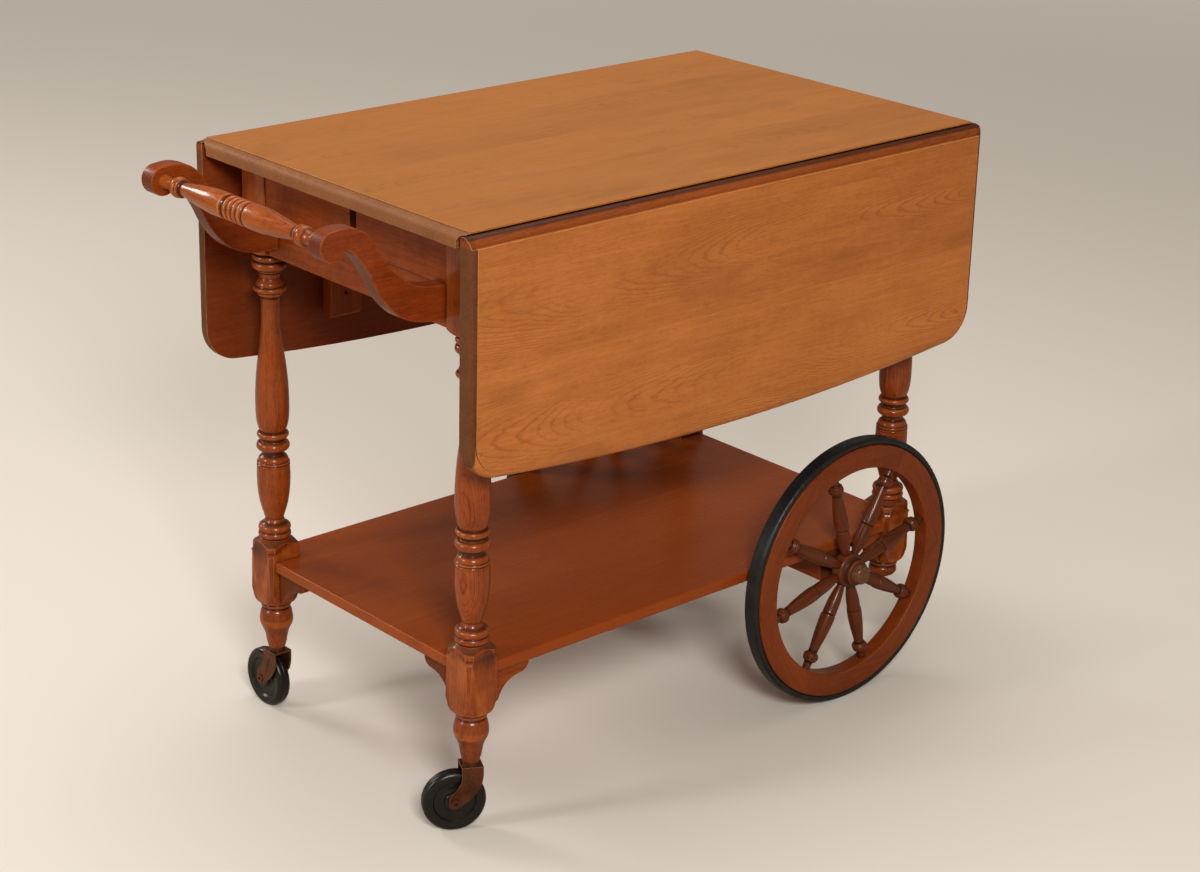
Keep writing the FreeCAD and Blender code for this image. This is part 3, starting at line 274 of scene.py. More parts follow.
def make_floor():
    """A pale floor that reads as one tone out to the horizon."""
    bpy.ops.mesh.primitive_plane_add(size=FLOOR_SIZE)
    floor = bpy.context.object
    floor.name = "floor"
    g = Graph("floor")
    seen = g.node("ShaderNodeLightPath").outputs["Is Camera Ray"]
    glow = g.steps(g.length(g.axes[X], g.axes[Y]), GLOW_START, GLOW_END, 0.0, GLOW_LEVEL)
    g.set(Base_Color=g.mix(seen, FLOOR_COLOUR, FLOOR_SEEN), Roughness=FLOOR_ROUGHNESS,
          Specular_IOR_Level=FLOOR_IOR_LEVEL, Emission_Color=(*WORLD_SEEN, 1.0),
          Emission_Strength=g.times(glow, seen))
    floor.data.materials.append(g.material)


# ---- noises of the wood --------------------------------------------------------------------


@dataclass
class Layer:
    """A noise drawn out along the grain: its scales along and across the grain, and its form."""

    along: float
    across: float
    seed: float = None          # added to the wood's own seed; without it the noise has no seed
    detail: float = 2.0
    roughness: float = 0.5
    distortion: float = 0.0


LAYERS = {
    "sway": Layer(2.4, 6.0, seed=0.0),              # the pith's wander to the sides
    "dip": Layer(3.6, 3.0, seed=3.0),               # and up and down
    "ragged": Layer(110.0, 260.0, detail=3.0),      # the growth lines' rough course
    "zones": Layer(5.0, 14.0, seed=5.0),            # where the growth lines are plain to see
    "cloud": Layer(2.2, 6.0, seed=9.0),             # stain taken up unevenly, in large areas
    "blotch": Layer(9.0, 24.0, seed=0.0, detail=3.0, roughness=0.55),
    "fibre": Layer(24.0, 480.0, detail=3.0, roughness=0.6),
    "streak": Layer(6.0, 130.0),
    "ripple": Layer(95.0, 34.0, distortion=0.4),    # bars across the grain
    "mottle": Layer(110.0, 330.0, detail=3.0, roughness=0.65),
    "fleck": Layer(150.0, 900.0, detail=1.0),       # open pores
    "soak": Layer(7.0, 15.0, seed=21.0, detail=3.0),
    "rub": Layer(70.0, 70.0),                       # where the crests and arrises are drawn lighter: wear and painted highlight
    "smear": Layer(9.0, 30.0, detail=3.0),          # uneven sheen
}

# How far each noise moves the shade, times a strength of the wood.
SHADE_WEIGHTS = (("cloud", 0.90, "blotch"), ("blotch", 0.85, "blotch"), ("fibre", 0.95, "fibre"),
                 ("streak", 0.60, "fibre"), ("ripple", 0.34, "blotch"), ("mottle", 0.55, "fibre"))


def layer(g, name, place, seed):
    """One of the noises, from 0 to 1."""
    form = LAYERS[name]
    offset = 0.0 if form.seed is None else seed + form.seed
    spot = g.stretched(place, (form.along, form.across, form.across), offset)
    return g.noise(spot, detail=form.detail, roughness=form.roughness, distortion=form.distortion)


def swing(g, name, place, seed):
    """One of the noises, about zero."""
    return g.minus(layer(g, name, place, seed), 0.5)


# ---- grain ---------------------------------------------------------------------------------
#
# Each of these gives a function of a graph. It gives a point's place along, across and below the
# grain, how far the face is end grain, and the part of its normal that decides the face in painted
# shade.


def along_axes(along, across, depth, node=None):
    """Grain along one row axis, with places from the middle of the node where one is named."""
    middle = centre(node) if node else (0.0, 0.0, 0.0)

    def local(g):
        normal = g.split(g.coordinates["Normal"])
        place = [g.minus(g.axes[axis], middle[axis]) for axis in (along, across, depth)]
        return place, g.math("ABSOLUTE", normal[along]), normal[depth]

    return local


def from_hub(g, side):
    """A point's place from the middle of a wheel."""
    hub = centre(f"wheel_rim_{side}")
    return [g.minus(g.axes[axis], hub[axis]) for axis in (X, Y, Z)]


FELLOES = 6
FELLOE_JUMP = 1.7       # metres of grain for each radian, so that no two felloes look alike
SPOKE_JUMP = 0.10       # the same from spoke to spoke


def rim_grain(side):
    """The rim is made of straight-grained felloes that meet end to end round the wheel."""
    arc = 2 * math.pi / FELLOES

    def local(g):
        x, y, z = from_hub(g, side)
        turn = g.math("ARCTAN2", z, x)
        middle = g.times(g.add(g.math("FLOOR", g.math("DIVIDE", turn, arc)), 0.5), arc)
        cosine, sine = g.math("COSINE", middle), g.math("SINE", middle)
        tangent = g.minus(g.times(z, cosine), g.times(x, sine))
        outward = g.add(g.times(x, cosine), g.times(z, sine))
        return [g.add(tangent, g.times(middle, FELLOE_JUMP)), outward, y], 0.0, y

    return local


def spoke_grain(side):
    """Grain along each spoke, out from the wheel's centre."""

    def local(g):
        x, y, z = from_hub(g, side)
        turn = g.math("ARCTAN2", z, x)
        return [g.length(x, z), g.times(turn, SPOKE_JUMP), y], 0.0, y

    return local


# ---- wood ----------------------------------------------------------------------------------


@dataclass
class Wood:
    """How one kind of stained and lacquered maple looks."""

    light: tuple
    dark: tuple
    end: tuple
    board: float = None         # width of the boards that it is glued up from
    figure: float = 1.0         # strength of the growth lines
    blotch: float = 1.0         # strength of the cloudy stain
    tone: float = 0.4           # how far one board differs from the next
    fibre: float = 1.0          # strength of the fine grain
    stains: float = 0.0         # strength of the dark patches
    roughness: float = 0.34
    coat: float = 0.0
    inner_shade: tuple = None        # the side, light and dark of its faces turned into the trolley, drawn darker and redder as painted shade
    end_band: float = None      # where the stain of a moulded end starts, from the middle out
    lip: float = None           # height above the middle where a leaf's rounded joint starts
    seed: float = 0.0


BOARD_SHIFT = 7.31      # brings every board's place across the grain above zero
BOARD_JUMP = 3.0        # how far along the grain one board's noises may start from another's
SEAM_WIDTH = 0.5 * MM
ONE_BOARD = (0.5, 0.5, 0.62)    # stands for the random numbers where there are no boards


def board_draw(g, look, across):
    """The board a point lies in: three random numbers, the place within it, and its glue line."""
    shifted = g.add(across, BOARD_SHIFT)
    strip = g.math("FLOOR", g.math("DIVIDE", shifted, look.board))
    random = g.node("ShaderNodeTexWhiteNoise", {"W": g.add(strip, look.seed)}, noise_dimensions="1D")
    draw = g.node("ShaderNodeSeparateColor", {"Color": random.outputs["Color"]}).outputs
    inside = g.minus(shifted, g.times(g.add(strip, 0.5), look.board))
    edge = g.math("ABSOLUTE", g.math("DIVIDE", inside, look.board))
    seam = g.steps(edge, 0.5 - SEAM_WIDTH / look.board, 0.5)
    return draw, inside, seam


RING_PITCH = 1.9 * MM
RING_RAGGED = 0.75                      # of a ring
LATE_START, LATE_FULL = 0.62, 0.93      # the dark line's part of a ring, which is 1 wide
LATE_FALL = 0.95
PITH_BELOW = 0.052                      # metres below the middle of the board
PITH_DIP = 0.016
PITH_SWAY = 0.020
PITH_SPREAD = 0.050                     # sideways, from board to board
PITH_SLOPE, SLOPE_SPREAD = 0.055, 0.035
ZONE_SPAN = (0.42, 0.62)
ZONE_FAINT = 0.10


def growth_lines(g, look, place, draw):
    """Thin late-wood lines: rings about a pith that slopes below the face, so that they nest as
    long arches down the middle of a board and run straight beside them."""
    u, v, w = place
    sway, dip, ragged = (swing(g, name, place, look.seed) for name in ("sway", "dip", "ragged"))
    side = g.add(v, g.times(sway, PITH_SWAY), g.times(g.minus(draw[1], 0.5), PITH_SPREAD))
    way = g.math("SIGN", g.minus(draw[2], 0.5))
    slope = g.times(way, g.add(PITH_SLOPE, g.times(draw[0], SLOPE_SPREAD)))
    below = g.add(w, PITH_BELOW, g.times(u, slope), g.times(dip, PITH_DIP))
    rings = g.math("DIVIDE", g.length(side, below), RING_PITCH)
    year = g.math("FRACT", g.add(rings, g.times(ragged, RING_RAGGED)))
    line = g.times(g.steps(year, LATE_START, LATE_FULL), g.steps(year, 1.0, LATE_FALL))
    zones = layer(g, "zones", place, look.seed)
    return g.times(line, g.steps(zones, *ZONE_SPAN, ZONE_FAINT, 1.0))


MIDDLE_SHADE = 0.56
LINE_DEPTH = 0.62
FLECK_SPAN = (0.56, 0.70)
FLECK_DEPTH = 0.30


def wood_shade(g, look, swings, fleck, line, draw):
    """Where a point lies between the wood's dark and light colours, 0 to 1."""
    shade = MIDDLE_SHADE
    for name, weight, strength in SHADE_WEIGHTS:
        shade = g.add(shade, g.times(swings[name], weight * getattr(look, strength)))
    if look.board:
        shade = g.add(shade, g.times(g.minus(draw[1], 0.5), look.tone))
    shade = g.minus(shade, g.times(line, LINE_DEPTH * look.figure))
    return g.math("SUBTRACT", shade, g.times(fleck, FLECK_DEPTH * look.fibre), clamp=True)


STAIN_SPAN = (0.56, 0.74)
STAIN_FACTORS = (0.55, 0.62, 0.80)
INNER_SHADE_TURN = (-0.75, -0.35)    # of the normal, from the face in painted shade to the shown ones


def painted_inner_shade(g, look, face, shade, colour):
    """The colour with painted shade on the face turned into the trolley, and how far a point is on
    the shown side.
    """
    side, light, dark = look.inner_shade
    shown = g.steps(g.times(face, float(side)), *INNER_SHADE_TURN)
    return g.mix(shown, g.mix(shade, dark, light), colour), shown


END_TURN = (0.50, 0.92)         # of the normal, from side grain to end grain
BAND_EDGE = 0.4 * MM
END_SHADE = 0.40
END_WEIGHTS = {"line": 0.40, "fibre": 1.4, "blotch": 0.8}
END_DARK, END_LIGHT = 0.7, 1.6
END_COVER = 0.90


def end_stain(g, look, u, end_on, shown, noises):
    """How far a point shows end grain or lies in a moulded end, and the colour it has there."""
    amount = g.steps(end_on, *END_TURN)
    if look.end_band:
        in_band = g.steps(g.math("ABSOLUTE", u), look.end_band, look.end_band + BAND_EDGE)
        amount = g.math("MAXIMUM", amount, g.times(in_band, shown))
    shade = g.add(END_SHADE, *(g.times(noises[name], END_WEIGHTS[name]) for name in END_WEIGHTS))
    return amount, g.mix(shade, scaled(look.end, END_DARK), scaled(look.end, END_LIGHT))


LIP_LIGHT, LIP_DARK = (0.30, 0.066, 0.013), (0.17, 0.034, 0.007)
LIP_COVER = 0.85
LIP_EDGE = 0.3 * MM
LIP_SHADE_START, LIP_SHADE_END = 6.5 * MM, 9.5 * MM     # painted shade: the lip goes nearly black where it turns under the top's edge
LIP_SHADE = 0.20


def joint_lip(g, look, v, shade, colour):
    """The colour with the rounded edge drawn redder and darker, and nearly black as painted shade
    where it turns under the top.
    """
    red = g.steps(v, look.lip - LIP_EDGE, look.lip + LIP_EDGE, 0.0, LIP_COVER)
    colour = g.mix(red, colour, g.mix(shade, LIP_DARK, LIP_LIGHT))
    # painted shade in the gap under the top's edge
    painted_gap_shade = g.steps(v, look.lip + LIP_SHADE_START, look.lip + LIP_SHADE_END, 0.0, LIP_COVER)
    return g.mix(painted_gap_shade, colour, scaled(LIP_DARK, LIP_SHADE))


HOLLOW_SPAN, CREST_SPAN = (0.04, 0.70), (0.12, 0.85)    # of the relief
HOLLOW_COVER, HOLLOW_DARK = 0.88, 0.16
RUB_SPAN, RUB_RANGE = (0.35, 0.65), (0.25, 0.75)
WORN_AND_LIT_FACTORS = (1.20, 1.50, 1.90)
# painted shade: ambient occlusion darkens the colour in corners and where parts meet
CORNER_SHADE_REACH = 10.0 * MM
CORNER_SHADE_SAMPLES = 4
CORNER_SHADE_SPAN = (0.20, 0.80)
CORNER_SHADE_DARK = 0.45


def relief_and_painted_light(g, look, place, colour):
    """The colour darker in the hollows of the turnings, lighter in patches on crests and arrises
    (wear mixed with painted highlight), and with painted shade in corners and where parts meet.
    Also how far a point lies in a hollow."""
    relief = g.relief()
    hollow = g.steps(g.times(relief, -1.0), *HOLLOW_SPAN)
    crest = g.steps(relief, *CREST_SPAN)
    rub = layer(g, "rub", place, look.seed)
    colour = g.mix(g.times(hollow, HOLLOW_COVER), colour, scaled(look.dark, HOLLOW_DARK))
    # wear mixed with painted highlight: crests and arrises go lighter and yellower, in patches
    bare = g.times(crest, g.steps(rub, *RUB_SPAN, *RUB_RANGE))
    colour = g.mix(bare, colour, scaled(look.light, *WORN_AND_LIT_FACTORS))
    # painted shade from ambient occlusion, in corners and where parts meet
    occlusion = g.node("ShaderNodeAmbientOcclusion", {"Distance": CORNER_SHADE_REACH},
                       samples=CORNER_SHADE_SAMPLES)
    painted_corner_shade = g.steps(occlusion.outputs["AO"], *CORNER_SHADE_SPAN, CORNER_SHADE_DARK, 1.0)
    return g.mix(1.0, colour, painted_corner_shade, "MULTIPLY"), hollow


SEAM_COVER, SEAM_DARK = 0.22, 0.5
SHEEN_BASE = -0.05              # added to the wood's roughness
SHEEN_WEIGHTS = {"smear": 0.12, "hollow": 0.15, "end": 0.10}
HEIGHT_WEIGHTS = {"fibre": 0.5, "line": -0.30, "fleck": -0.5, "ripple": 0.6}


def wood_surface(g, look, local):
    """Colour, roughness and bump height of one wood."""
    (u, v, w), end_on, face = local(g)
    draw, inside, seam, jump = ONE_BOARD, v, None, look.seed
    if look.board:
        draw, inside, seam = board_draw(g, look, v)
        jump = g.times(draw[0], BOARD_JUMP)
    place = (g.add(u, jump), v, w)
    line = growth_lines(g, look, (u, inside, w), draw)
    noises = {name: swing(g, name, place, look.seed) for name, _, _ in SHADE_WEIGHTS}
    fleck = g.steps(layer(g, "fleck", place, look.seed), *FLECK_SPAN)

    shade = wood_shade(g, look, noises, fleck, line, draw)
    colour = g.mix(shade, look.dark, look.light)
    noises.update(line=line, fleck=fleck, smear=layer(g, "smear", place, look.seed))
    if look.stains:
        soak = layer(g, "soak", place, look.seed)
        colour = g.mix(g.steps(soak, *STAIN_SPAN, 0.0, look.stains), colour,
                       scaled(look.dark, *STAIN_FACTORS))
    shown = 1.0
    if look.inner_shade:
        # painted shade: the faces turned into the trolley get a darker, redder copy of the wood
        colour, shown = painted_inner_shade(g, look, face, shade, colour)
    noises["end"], end_colour = end_stain(g, look, u, end_on, shown, noises)
    colour = g.mix(g.times(noises["end"], END_COVER), colour, end_colour)
    if look.board:
        colour = g.mix(g.times(seam, SEAM_COVER), colour, scaled(look.dark, SEAM_DARK))
    if look.lip:
        colour = joint_lip(g, look, v, shade, colour)
    colour, noises["hollow"] = relief_and_painted_light(g, look, (u, v, w), colour)

    roughness = g.add(look.roughness + SHEEN_BASE,
                      *(g.times(noises[name], weight) for name, weight in SHEEN_WEIGHTS.items()))
    height = g.add(*(g.times(noises[name], weight) for name, weight in HEIGHT_WEIGHTS.items()))
    return colour, roughness, height


LACQUER_IOR_LEVEL = 0.20
COAT_ROUGHNESS = 0.09
WOOD_BUMP = {"strength": 0.10, "distance": 0.6 * MM}


def wood(name, look, local):
    g = Graph(name)
    colour, roughness, height = wood_surface(g, look, local)
    g.set(Base_Color=colour, Roughness=roughness, Coat_Weight=look.coat,
          Coat_Roughness=COAT_ROUGHNESS, Specular_IOR_Level=LACQUER_IOR_LEVEL)
    g.bump(height, **WOOD_BUMP)
    return g.material


# painted shade on the faces turned into the trolley
INNER_SHADE_LIGHT, INNER_SHADE_DARK = (0.26, 0.050, 0.010), (0.15, 0.026, 0.006)
RED_LIGHT, RED_DARK, RED_END = (0.345, 0.068, 0.008), (0.130, 0.019, 0.003), (0.11, 0.025, 0.006)
TOP_BAND = 8.6 * MM         # width of the moulding at the ends of the top
LEAF_BAND = 9.0 * MM        # and of the leaves' thumb moulding


def looks():
    """The trolley's kinds of wood. The three colours are light, dark and end grain."""
    turned = {"figure": 0.7, "blotch": 1.2, "fibre": 1.1, "roughness": 0.30, "coat": 0.35,
              "seed": 2.0}
    made = {
        "top": Wood((0.486, 0.181, 0.043), (0.340, 0.119, 0.026), (0.200, 0.078, 0.030),
                    board=0.118, figure=0.45, blotch=0.60, tone=0.22, fibre=0.75, stains=0.20,
                    roughness=0.42, inner_shade=(1, INNER_SHADE_LIGHT, INNER_SHADE_DARK),
                    end_band=half_length("top_panel") - TOP_BAND, seed=1.0),
        "shelf": Wood((0.35, 0.069, 0.009), (0.225, 0.038, 0.005), (0.26, 0.054, 0.008),
                      board=0.105, figure=0.3, blotch=0.6, fibre=0.50, roughness=0.26, seed=4.0),
        "turned": Wood(RED_LIGHT, RED_DARK, RED_END, **turned),
        "spindle": Wood((0.46, 0.105, 0.013), (0.190, 0.032, 0.005), RED_END, **turned),
        "rail": Wood(RED_LIGHT, RED_DARK, RED_END, figure=0.7, roughness=0.38, seed=5.0),
        # painted shade: the arm is a darker copy of the legs' wood
        "arm": Wood((0.30, 0.052, 0.007), (0.12, 0.018, 0.003), (0.12, 0.022, 0.005), figure=0.5,
                    roughness=0.33, coat=0.18, seed=7.0),
        # painted shade: the rim is a darker copy of the legs' wood, for its low place by the floor
        "rim": Wood((0.25, 0.049, 0.008), (0.125, 0.021, 0.004), (0.12, 0.022, 0.005), figure=0.5,
                    roughness=0.36, seed=3.0),
        "spoke": Wood((0.140, 0.030, 0.007), (0.064, 0.013, 0.004), (0.07, 0.018, 0.006),
                      figure=0.4, blotch=1.2, roughness=0.32, coat=0.15, seed=11.0),
    }
    for side, sign in SIDES.items():
        leaf = f"leaf_{side}"
        made[leaf] = Wood((0.59, 0.204, 0.050), (0.378, 0.118, 0.029), (0.078, 0.027, 0.010),
                          board=0.116, blotch=0.85, tone=0.30, fibre=0.95, stains=0.30,
                          roughness=0.38, inner_shade=(sign, INNER_SHADE_LIGHT, INNER_SHADE_DARK),
                          end_band=half_length(leaf) - LEAF_BAND,
                          lip=centre(f"hinge_pins_{side}").z - centre(leaf).z, seed=6.0 + sign)
    return made


DOME_START = 19.2 * MM          # out along the axle from the middle of the rim
DOME_EDGE = 0.3 * MM
BRONZE = (0.200, 0.088, 0.045)
BRONZE_DARK = 0.60
BRONZE_METALLIC = 0.35
DOME_SHEEN = -0.06
CAP_BUMP = {"strength": 0.08, "distance": 0.5 * MM}


def cap_material(side, sign, look):
    """A turned wooden ring round a dark bronze dome."""
    g = Graph(f"hub_cap_{side}")
    colour, roughness, height = wood_surface(g, look, along_axes(Y, Z, X))
    out = g.times(g.minus(g.axes[Y], centre(f"wheel_rim_{side}").y), float(sign))
    dome = g.steps(out, DOME_START, DOME_START + DOME_EDGE)
    tarnish = g.noise(g.coordinates["Object"], scale=240.0, detail=4.0, roughness=0.6)
    bronze = g.mix(g.steps(tarnish, low=0.35, high=0.70), BRONZE, scaled(BRONZE, BRONZE_DARK))
    g.set(Base_Color=g.mix(dome, colour, bronze), Metallic=g.times(dome, BRONZE_METALLIC),
          Roughness=g.add(roughness, g.times(dome, DOME_SHEEN)),
          Specular_IOR_Level=LACQUER_IOR_LEVEL)
    g.bump(height, **CAP_BUMP)
    return g.material


def make_woods():
    look = looks()
    grain = {
        "top": ("top", along_axes(X, Y, Z, "top_panel")),
        "shelf": ("shelf", along_axes(X, Y, Z, "lower_shelf")),
        "leg": ("turned", along_axes(Z, X, Y)), "spindle": ("spindle", along_axes(Y, Z, X)),
        "long_rail": ("rail", along_axes(X, Z, Y)), "cross_rail": ("rail", along_axes(Y, Z, X)),
        "upright": ("rail", along_axes(Z, X, Y)), "arm": ("arm", along_axes(X, Z, Y)),
        "hub": ("spoke", along_axes(Y, Z, X)),
    }
    for side in SIDES:
        leaf = f"leaf_{side}"
        grain[leaf] = (leaf, along_axes(X, Z, Y, leaf))
        grain[f"rim_{side}"] = ("rim", rim_grain(side))
        grain[f"spoke_{side}"] = ("spoke", spoke_grain(side))
    woods = {name: wood(f"maple_{name}", look[kind], local) for name, (kind, local) in grain.items()}
    for side, sign in SIDES.items():
        woods[f"cap_{side}"] = cap_material(side, sign, look["spoke"])
    return woods


# ---- other materials -----------------------------------------------------------------------

RUBBER, RUBBER_DUSTY, RUBBER_SPECK = (0.007, 0.008, 0.009), (0.030, 0.029, 0.027), (0.20, 0.17, 0.14)
BLACK, BLACK_SCUFFED = (0.005, 0.0045, 0.004), (0.030, 0.022, 0.017)
FORK_DARK, FORK_LIGHT, FORK_BARE = (0.065, 0.017, 0.006), (0.140, 0.040, 0.013), (0.50, 0.25, 0.12)
STEEL, STEEL_TARNISHED = (0.42, 0.39, 0.35), (0.20, 0.15, 0.11)
DUST_COVER, SPECK_COVER, SCUFF_COVER = 0.45, 0.50, 0.45
WEAR_LEAST = 0.35               # how bare the least rubbed part of an arris is
BRUSHED_SCALES = (60.0, 1400.0, 1400.0)


def tyre_rubber():
    """Black rubber, dusty in patches and specked with grit."""
    g = Graph("tyre_rubber")
    spot = g.coordinates["Object"]
    dust = g.noise(spot, scale=55.0, detail=4.0, roughness=0.6)
    speck = g.steps(g.noise(spot, scale=700.0, detail=1.0), low=0.70, high=0.76)
    grain = g.noise(spot, scale=1500.0)
    colour = g.mix(g.steps(dust, low=0.45, high=0.78, to_high=DUST_COVER), RUBBER, RUBBER_DUSTY)
    colour = g.mix(g.times(speck, SPECK_COVER), colour, RUBBER_SPECK)
    g.set(Base_Color=colour, Roughness=g.add(0.32, g.times(dust, 0.16)), Specular_IOR_Level=0.35)
    g.bump(g.add(g.times(grain, 0.4), dust), strength=0.12, distance=0.4 * MM)
    return g.material


def caster_black():
    """Moulded black, scuffed brown in patches."""
    g = Graph("caster_black")
    spot = g.coordinates["Object"]
    scuff = g.noise(spot, scale=130.0, detail=4.0, roughness=0.65)
    grain = g.noise(spot, scale=1800.0, detail=1.0)
    colour = g.mix(g.steps(scuff, low=0.50, high=0.80, to_high=SCUFF_COVER), BLACK, BLACK_SCUFFED)
    g.set(Base_Color=colour, Roughness=g.add(0.20, g.times(scuff, 0.25)), Specular_IOR_Level=0.4)
    g.bump(g.add(grain, scuff), strength=0.08, distance=0.3 * MM)
    return g.material


def fork_metal():
    """Brown lacquered steel, rubbed bare along its arrises."""
    g = Graph("fork_metal")
    spot = g.coordinates["Object"]
    wear = g.noise(spot, scale=220.0, detail=4.0, roughness=0.7)
    stain = g.noise(spot, scale=45.0, detail=3.0)
    colour = g.mix(g.steps(stain, low=0.3, high=0.7), FORK_DARK, FORK_LIGHT)
    patchy = g.steps(wear, low=0.35, high=0.55, to_low=WEAR_LEAST)
    bare = g.times(g.steps(g.relief(), low=0.2, high=0.8), patchy)
    colour = g.mix(bare, colour, FORK_BARE)
    g.set(Base_Color=colour, Metallic=0.55, Roughness=g.add(0.26, g.times(wear, 0.22)))
    g.bump(wear, strength=0.10, distance=0.3 * MM)
    return g.material


def bright_steel():
    """Plain steel, brushed along the trolley and tarnished in patches."""
    g = Graph("bright_steel")
    brushed = g.noise(g.stretched(g.axes, BRUSHED_SCALES))
    tarnish = g.noise(g.coordinates["Object"], scale=70.0, detail=4.0, roughness=0.6)
    colour = g.mix(g.steps(tarnish, low=0.40, high=0.75), STEEL, STEEL_TARNISHED)
    g.set(Base_Color=colour, Metallic=1.0, Roughness=g.add(0.26, g.times(brushed, 0.22)))
    g.bump(brushed, strength=0.06, distance=0.2 * MM)
    return g.material


def make_materials():
    made = make_woods()
    made.update(rubber=tyre_rubber(), black=caster_black(), fork=fork_metal(), steel=bright_steel())
    return made


# Which material each CAD node, or the piece that stands for it, is given.
MATERIAL_OF = {
    "top_panel": "top", "lower_shelf": "shelf", "end_rail_lower": "cross_rail",
    "end_rail_upper": "cross_rail", "end_rail_wheels": "cross_rail", "axle_beam": "cross_rail",
    "handle_spindle": "spindle", "glue_blocks": "upright", "prop_cheeks": "upright",
    "prop_pins": "steel", "axle": "steel",
    "leaf_{side}": "leaf_{side}", "side_rail_{side}": "long_rail",
    "handle_arm_{side}": "arm", "wheel_rim_{side}": "rim_{side}",
    "wheel_spokes_{side}": "spoke_{side}", "wheel_hub_{side}": "hub",
    "wheel_hub_cap_{side}": "cap_{side}", "wheel_tyre_{side}": "rubber",
    "caster_fork_{side}": "fork", "caster_rivet_{side}": "fork",
    "caster_socket_{side}": "fork", "caster_wheel_{side}": "black",
    "hinge_plates_{side}": "steel", "hinge_flaps_{side}": "steel",
    "hinge_pins_{side}": "steel", "prop_catches_{side}": "steel",
    "leg_{end}_{side}": "leg", "shelf_brackets_{end}_{side}": "long_rail",
    "prop_{side}_{end}": "upright",
}


# ---- relief of the turnings ----------------------------------------------------------------

BIN = 0.5 * MM
RELIEF_REACH = 3.0 * MM
RELIEF_DEPTH = 1.1 * MM


def profile_relief(height, radius):
    """How far each point of a turned piece stands above or below the profile around it."""
    low = height.min()
    count = int((height.max() - low) / BIN) + 2
    index = ((height - low) / BIN).astype(int)
    profile = np.full(count, -1.0)
    np.maximum.at(profile, index, radius)
    known = profile >= 0
    profile = np.interp(np.arange(count), np.flatnonzero(known), profile[known])
    reach = int(RELIEF_REACH / BIN)
    window = np.ones(2 * reach + 1) / (2 * reach + 1)
    smooth = np.convolve(np.pad(profile, reach, mode="edge"), window, mode="valid")
    return np.clip((profile[index] - smooth[index]) / RELIEF_DEPTH, -1.0, 1.0)


def turned_about(axis, middle):
    """Relief of a piece turned about a row axis through a point."""
    across = [other for other in (X, Y, Z) if other != axis]

    def relief(points):
        place = points - np.array(middle)
        return profile_relief(place[:, axis], np.hypot(place[:, across[0]], place[:, across[1]]))

    return relief


SPOKE_PHASE = math.radians(15.0)
SPOKE_STEP = math.radians(45.0)


def spoke_relief(side, sign):
    """Relief of all the spokes of a wheel, each turned about its own line out from the hub."""

    def relief(points):
        place = points - np.array(centre(f"wheel_rim_{side}"))
        # the wheel's own angles run the other way on the far side
        turn = np.arctan2(-sign * place[:, Z], place[:, X]) - SPOKE_PHASE
        off = turn - np.round(turn / SPOKE_STEP) * SPOKE_STEP
        reach = np.hypot(place[:, X], place[:, Z])
        return profile_relief(reach * np.cos(off), np.hypot(reach * np.sin(off), place[:, Y]))

    return relief


def turnings():
    """The turned nodes, each with the relief of its profile."""
    made = {"handle_spindle": turned_about(Y, centre("handle_spindle"))}
    for side, sign in SIDES.items():
        for end in ENDS:
            leg = f"leg_{end}_{side}"
            made[leg] = turned_about(Z, centre(leg))
        hub = centre(f"wheel_rim_{side}")
        made[f"wheel_hub_{side}"] = turned_about(Y, hub)
        made[f"wheel_hub_cap_{side}"] = turned_about(Y, hub)
        made[f"wheel_spokes_{side}"] = spoke_relief(side, sign)
    return made


# ---- eased pieces --------------------------------------------------------------------------

# The nodes whose arrises are rubbed round, with the radius in millimetres.
ARRIS_MM = {
    "top_panel": 0.6, "lower_shelf": 0.7, "end_rail_lower": 0.8, "end_rail_upper": 0.6,
    "end_rail_wheels": 0.8, "axle_beam": 0.8, "handle_spindle": 0.4,
    "leaf_{side}": 0.5, "side_rail_{side}": 0.8, "handle_arm_{side}": 1.6,
    "caster_fork_{side}": 0.25, "wheel_rim_{side}": 0.35, "wheel_hub_{side}": 0.3,
    "wheel_hub_cap_{side}": 0.3, "wheel_spokes_{side}": 0.3,
    "leg_{end}_{side}": 0.5, "shelf_brackets_{end}_{side}": 0.9, "prop_{side}_{end}": 1.0,
}
ROUND_SEGMENTS = 2
ROUND_PROFILE = 0.5
WELD = 2e-6
FLAT = math.radians(0.3)
SHARP = math.radians(30.0)
EDGE_WEAR_AND_HIGHLIGHT = 0.55


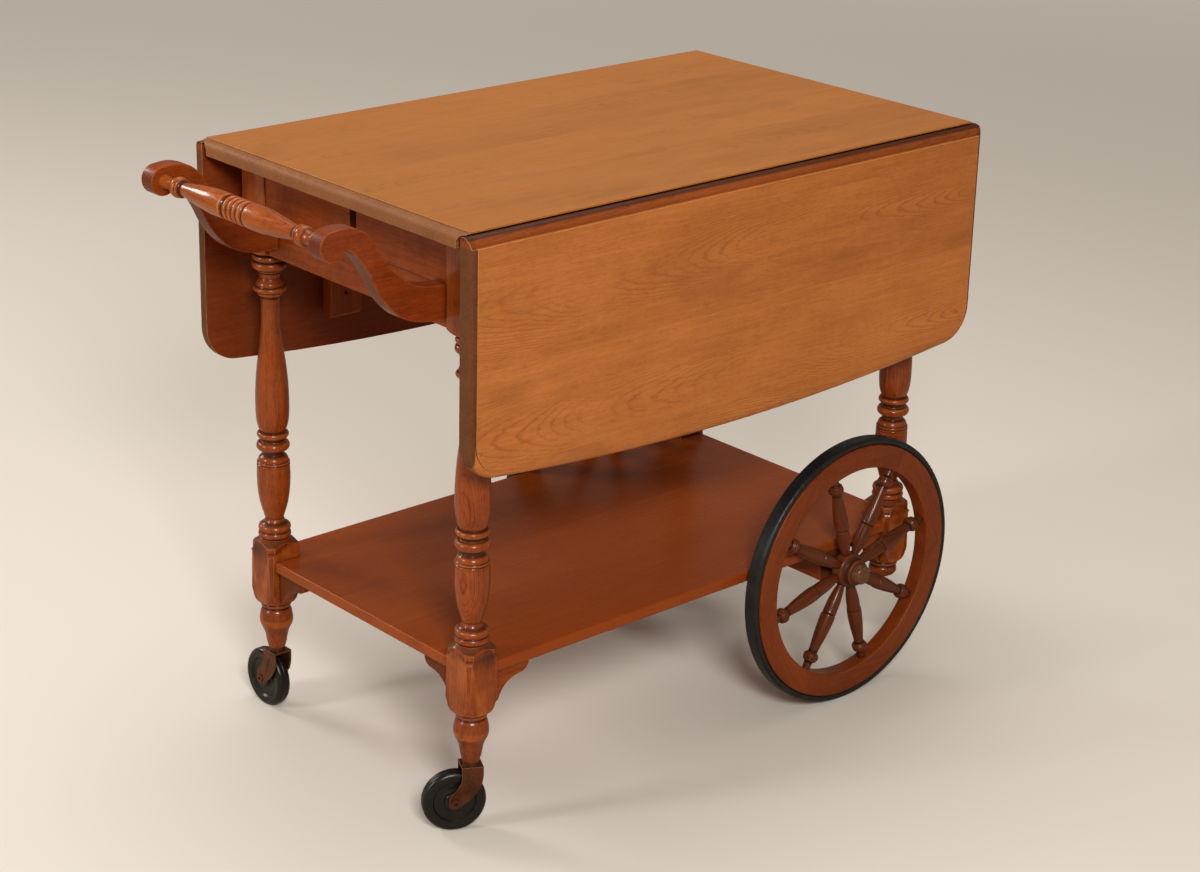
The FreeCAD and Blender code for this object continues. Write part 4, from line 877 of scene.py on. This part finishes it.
def round_arrises(shape, radius):
    """Rub every outer arris of a welded form round, and give the faces that this makes."""
    bmesh.ops.remove_doubles(shape, verts=shape.verts, dist=WELD)
    bmesh.ops.dissolve_limit(shape, angle_limit=FLAT, verts=shape.verts, edges=shape.edges)
    shape.normal_update()
    arrises = [edge for edge in shape.edges if edge.is_convex and edge.calc_face_angle() > SHARP]
    made = bmesh.ops.bevel(shape, geom=arrises, offset=radius, offset_type="OFFSET",
                           segments=ROUND_SEGMENTS, profile=ROUND_PROFILE, affect="EDGES")
    shape.verts.index_update()
    return set(made["faces"])


def mark_relief(shape, rounds, relief_of):
    """Write the relief that the materials read: a turning's profile, and a mark on the arrises that
    the wood draws as wear and painted highlight and the fork as wear.
    """
    heights = np.zeros(len(shape.verts))
    if relief_of:
        heights = relief_of(np.array([vertex.co for vertex in shape.verts]))
    relief = shape.loops.layers.float.new("relief")
    for face in shape.faces:
        face.smooth = True
        # the arrises' mark: the wood draws it as wear and painted highlight, the fork as bare metal
        wear = EDGE_WEAR_AND_HIGHLIGHT if face in rounds else -1.0
        for loop in face.loops:
            loop[relief] = max(heights[loop.vert.index], wear)


def eased_piece(name, radius, relief_of):
    """A piece in place of a CAD node: the same form, with every outer arris rubbed round."""
    shape = bmesh.new()
    shape.from_mesh(NODES[name].data)
    mark_relief(shape, round_arrises(shape, radius), relief_of)
    mesh = bpy.data.meshes.new(f"{name}_eased")
    shape.to_mesh(mesh)
    shape.free()
    mesh.set_sharp_from_angle(angle=SHARP)
    piece = bpy.data.objects.new(f"{name}_eased", mesh)
    bpy.context.scene.collection.objects.link(piece)
    weighted = piece.modifiers.new("weighted_normals", "WEIGHTED_NORMAL")
    weighted.keep_sharp = True
    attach(piece, BODY_OF[name])
    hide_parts(name)
    return piece


def dress(materials):
    """Give every node, or the eased piece that replaces it, its material."""
    radii, relief = filled_in(ARRIS_MM), turnings()
    for name, kind in filled_in(MATERIAL_OF).items():
        shown = NODES[name]
        if name in radii:
            shown = eased_piece(name, radii[name] * MM, relief.get(name))
        shown.data.materials.clear()
        shown.data.materials.append(materials[kind])


make_camera()
make_world()
make_lamps()
make_floor()
dress(make_materials())

bpy.context.scene.view_settings.view_transform = "Standard"
